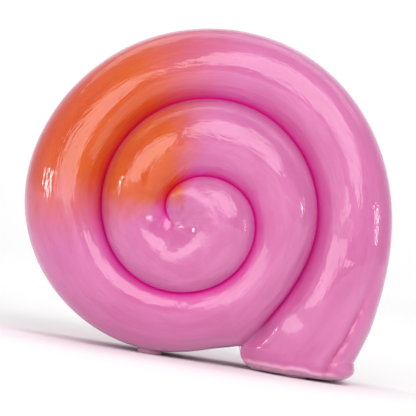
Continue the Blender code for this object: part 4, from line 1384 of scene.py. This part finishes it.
def build_guide_roller():
    axis = along_y(ROLLER_X, ROLLER_Z)
    bore = ROLLER_PIN_RADIUS + RUNNING_GAP
    face, shoulder = ROLLER_RADIUS - ROLLER_EDGE, ROLLER_HALF - ROLLER_EDGE
    profile = [(bore, ROLLER_HALF), (face, ROLLER_HALF), (ROLLER_RADIUS, shoulder)]
    # Fine grooves keep the sticky side from grabbing the roller.
    for k in range(9):
        middle = 7.6 - 1.9 * k
        profile += [(ROLLER_RADIUS, middle + 0.45), (ROLLER_RADIUS - 0.25, middle + 0.2)]
        profile += [(ROLLER_RADIUS - 0.25, middle - 0.2), (ROLLER_RADIUS, middle - 0.45)]
    profile += [(ROLLER_RADIUS, -shoulder), (face, -ROLLER_HALF), (bore, -ROLLER_HALF)]
    shown("guide_roller", "roller_shown", turned(profile, axis, 64), "roller", "guide_roller")
    pin = domed(ROLLER_PIN_RADIUS, -12.1, 12.1, axis, 0.25)
    shown("guide_roller_pin", "roller_pin_shown", pin, "steel")


def build_blade():
    """Steel strip whose teeth are ground to an edge on the outer side."""
    teeth = 14
    pitch = 2 * (HOLDER_HALF - 0.2) / teeth
    left = -(HOLDER_HALF - 0.2)
    tips = [(left + pitch * k / 2, -28.0 if k % 2 else -28.9) for k in range(2 * teeth + 1)]
    made = bmesh.new()
    back_x, face_x = BLADE_X, BLADE_X + BLADE_THICKNESS
    back = [made.verts.new(place(back_x, z, h)) for h, z in tips]
    front = [made.verts.new(place(back_x + 0.06, z, h)) for h, z in tips]
    ground = [made.verts.new(place(face_x, z - 1.1, h)) for h, z in tips]
    foot_front = [made.verts.new(place(face_x, BLADE_FOOT, h)) for h, _ in tips]
    foot_back = [made.verts.new(place(back_x, BLADE_FOOT, h)) for h, _ in tips]
    loops = [back, front, ground, foot_front, foot_back]
    for a, b in zip(loops, loops[1:] + loops[:1]):
        for k in range(len(tips) - 1):
            made.faces.new((a[k], a[k + 1], b[k + 1], b[k]))
    for k in (0, len(tips) - 1):
        made.faces.new([loop[k] for loop in loops])
    bmesh.ops.recalc_face_normals(made, faces=made.faces)
    blade = shown("cutter_blade", "blade_shown", made, "steel", "shell", 20.0)
    screw_axes = [along_x(BLADE_SCREW_HEIGHT, z) for z in (BLADE_SCREW_ACROSS, -BLADE_SCREW_ACROSS)]
    holes = [rod(1.1, BLADE_X - 1.0, BLADE_X + 2.0, axis, 32) for axis in reversed(screw_axes)]
    carve(blade, new_object("blade_holes", merged(*holes), "steel"))
    blade.data.set_sharp_from_angle(angle=math.radians(20))
    face = face_x + 0.1
    for number, axis in enumerate(screw_axes, 1):
        profile = [
            (0.0, face + 0.3),
            (0.7, face + 0.3, "six sides"),
            (0.7, face + 0.8, "six sides"),
            (0.8, face + 0.9),
            (1.2, face + 0.88),
            (1.45, face + 0.75),
            (1.6, face + 0.5),
            (1.6, face),
            (0.9, face),
            (0.9, BLADE_X - 3.8),
            (0.7, BLADE_X - 4.0),
            (0.0, BLADE_X - 4.0),
        ]
        shown(f"blade_screw_{number}", f"blade_screw_shown_{number}", turned(profile, axis, 48), "steel")


# ---------------------------------------------------------------- screws and feet


def screw(node, x, z, seat, tip):
    """Socket screw along Y, with a chamfered head and a threaded shank."""
    profile = [
        (0.0, seat - 1.0),
        (1.25, seat - 1.0, "six sides"),
        (1.25, seat - 2.0, "six sides"),
        (1.4, seat - 2.1),
        (HEAD_RADIUS - 0.35, seat - 2.1),
        (HEAD_RADIUS - 0.1, seat - 2.0),
        (HEAD_RADIUS, seat - 1.75),
        (HEAD_RADIUS, seat),
        (SHANK_RADIUS, seat),
    ]
    pitch = 0.5
    turns = int((tip - seat - 1.0) / pitch)
    for k in range(turns):
        start = seat + 0.5 + pitch * k
        profile += [(SHANK_RADIUS, start + 0.06), (SHANK_RADIUS - 0.25, start + 0.3)]
    profile += [(SHANK_RADIUS - 0.25, tip - 0.3), (SHANK_RADIUS - 0.5, tip), (0.0, tip)]
    shown(node, f"{node}_shown", turned(profile, along_y(x, z), 36), "steel")


def build_screws():
    for number, at in enumerate(CASING_SCREWS, 1):
        screw(f"casing_screw_{number}", *hub_point(*at), COUNTERBORE_HEIGHT - 0.2, CASING_SCREW_END)
    for number, at in enumerate(BALLAST_SCREWS, 1):
        screw(f"ballast_screw_{number}", *hub_point(*at), FLOOR_SCREW_SEAT, FLOOR_SCREW_END)
    screw("holder_screw", *HOLDER_SCREW, FLOOR_SCREW_SEAT, FLOOR_SCREW_END)


def build_pads():
    desk = -SPIRAL_Z
    for number, (x, height) in enumerate(FOOT_PADS, 1):
        profile = [
            (0.0, desk + 0.12),
            (2.3, desk + 0.12),
            (2.5, desk),
            (PAD_RADIUS - 0.5, desk),
            (PAD_RADIUS - 0.15, desk + 0.15),
            (PAD_RADIUS, desk + 0.5),
            (PAD_RADIUS, PAD_TOP - 0.1),
            (PAD_RADIUS - 0.1, PAD_TOP),
            (0.0, PAD_TOP),
        ]
        pad = turned(profile, along_z(x, height), 64)
        shown(f"foot_pad_{number}", f"foot_pad_shown_{number}", pad, "rubber")


def dress_kept_nodes():
    """The nodes whose CAD shape is already right get their finish."""
    for node, finish in (("blade_holder", "hub_plastic"), ("ballast_weight", "cast_iron")):
        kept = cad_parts[node]
        kept.data.materials.clear()
        kept.data.materials.append(FINISH[finish])


# ---------------------------------------------------------------- studio


def build_floor():
    """Pale sweep: a floor that curves up into a backdrop."""
    made = bmesh.new()
    half, bend, curve, top = 2.5, 0.9, 0.6, 3.0  # metres
    profile = [(-half, 0.0), (bend, 0.0)]
    for k in range(1, 16):
        angle = math.radians(6 * k)
        profile.append((bend + curve * math.sin(angle), curve - curve * math.cos(angle)))
    profile.append((bend + curve, top))
    rows = [[made.verts.new((x, y, z)) for x in (-half, half)] for y, z in profile]
    for here, there in zip(rows, rows[1:]):
        made.faces.new((here[0], here[1], there[1], there[0]))
    mesh = bpy.data.meshes.new("floor")
    made.to_mesh(mesh)
    made.free()
    mesh.shade_smooth()
    floor = linked(bpy.data.objects.new("floor", mesh))
    paper = Surface("floor_paper", Roughness=0.9, Base_Color=(0.93, 0.93, 0.93, 1.0))
    mesh.materials.append(paper.material)


def softbox(name, azimuth, tilt, distance, size, radiance, round_edge=True):
    """Area light facing the shell. Azimuth goes round the line of sight and tilt goes away from it."""
    turn, lean = math.radians(azimuth), math.radians(tilt)
    aim = Vector((0.0, 0.0, 0.045))
    out = Vector((math.sin(lean) * math.cos(turn), -math.cos(lean), math.sin(lean) * math.sin(turn)))
    light = bpy.data.lights.new(name, "AREA")
    light.shape = "ELLIPSE" if round_edge else "RECTANGLE"
    light.size, light.size_y = size
    area = size[0] * size[1] * (math.pi / 4 if round_edge else 1.0)
    light.energy = 4.0 * area * radiance
    lamp = linked(bpy.data.objects.new(name, light))
    # The light's x axis lies along the arc round the line of sight, and its y axis points at the middle.
    along = Vector((-math.sin(turn), 0.0, math.cos(turn)))
    facing = Matrix((along, out.cross(along), out)).transposed().to_4x4()
    lamp.matrix_world = Matrix.Translation(aim + out * distance) @ facing


def build_lights():
    softbox("window_right", 62.0, 36.0, 0.9, (0.84, 0.80), 2.5)
    softbox("window_left", 163.0, 30.0, 0.9, (0.72, 0.80), 2.3)
    softbox("strip_left", 180.0, 66.0, 0.6, (0.12, 0.026), 24.0, False)
    softbox("strip_right", 8.0, 68.0, 0.9, (0.18, 0.035), 18.0, False)
    wash = bpy.data.lights.new("backdrop_wash", "AREA")
    wash.shape = "RECTANGLE"
    wash.size, wash.size_y = 2.4, 1.2
    wash.energy = 12.0
    lamp = linked(bpy.data.objects.new("backdrop_wash", wash))
    lamp.location = (0.0, 0.42, 1.25)
    lamp.rotation_euler = (math.radians(50.0), 0.0, 0.0)
    world = bpy.data.worlds.new("studio")
    bpy.context.scene.world = world
    world.use_nodes = True
    sky = world.node_tree.nodes["Background"]
    sky.inputs[0].default_value = (1.0, 0.98, 0.99, 1.0)
    sky.inputs[1].default_value = 0.46
    bpy.context.scene.view_settings.view_transform = "Standard"


def build_camera():
    data = bpy.data.cameras.new("camera")
    data.sensor_width = 36.0
    distance = 0.8
    data.lens = 36.0 * distance / 0.1206
    data.clip_start = 0.05
    camera = linked(bpy.data.objects.new("camera", data))
    aim = Vector(((SPIRAL_X + 6.47) * MM, 0.0, (SPIRAL_Z + 1.78) * MM))
    camera.matrix_world = (
        Matrix.Translation(aim + Vector((0.0, -distance, 0.0)))
        @ Matrix.Rotation(math.pi / 2, 4, "X")
        @ Matrix.Rotation(math.radians(9.2), 4, "Z")
    )
    bpy.context.scene.camera = camera


FINISH["shell_glaze"] = shell_glaze()
FINISH["raw_resin"] = raw_resin()
FINISH["steel"] = metal("steel", rgb(196, 197, 200), 0.28, (1.0, 0.05, 1.0))
FINISH["magnet"] = metal("magnet", rgb(208, 208, 210), 0.18)
FINISH["bushing"] = metal("bushing", rgb(205, 170, 96), 0.3, (1.0, 0.06, 1.0))
FINISH["cast_iron"] = cast_iron()
FINISH["hub_plastic"] = moulded("hub_plastic", rgb(234, 232, 228), 0.38)
FINISH["roller"] = moulded("roller", rgb(86, 86, 90), 0.5, 1900.0)
FINISH["rubber"] = moulded("rubber", rgb(214, 156, 186), 0.62, 2400.0, 0.00004, 0.15)
FINISH["core_card"] = card()
FINISH["felt"] = felt()
FINISH["tape_film"] = wound_film()
FINISH["clear_film"] = clear_film()
build_front_casing()
build_rear_casing()
build_door()
build_axle()
build_clip()
build_roll()
build_tape_lead()
build_guide_roller()
build_blade()
build_screws()
build_pads()
dress_kept_nodes()
build_floor()
build_lights()
build_camera()
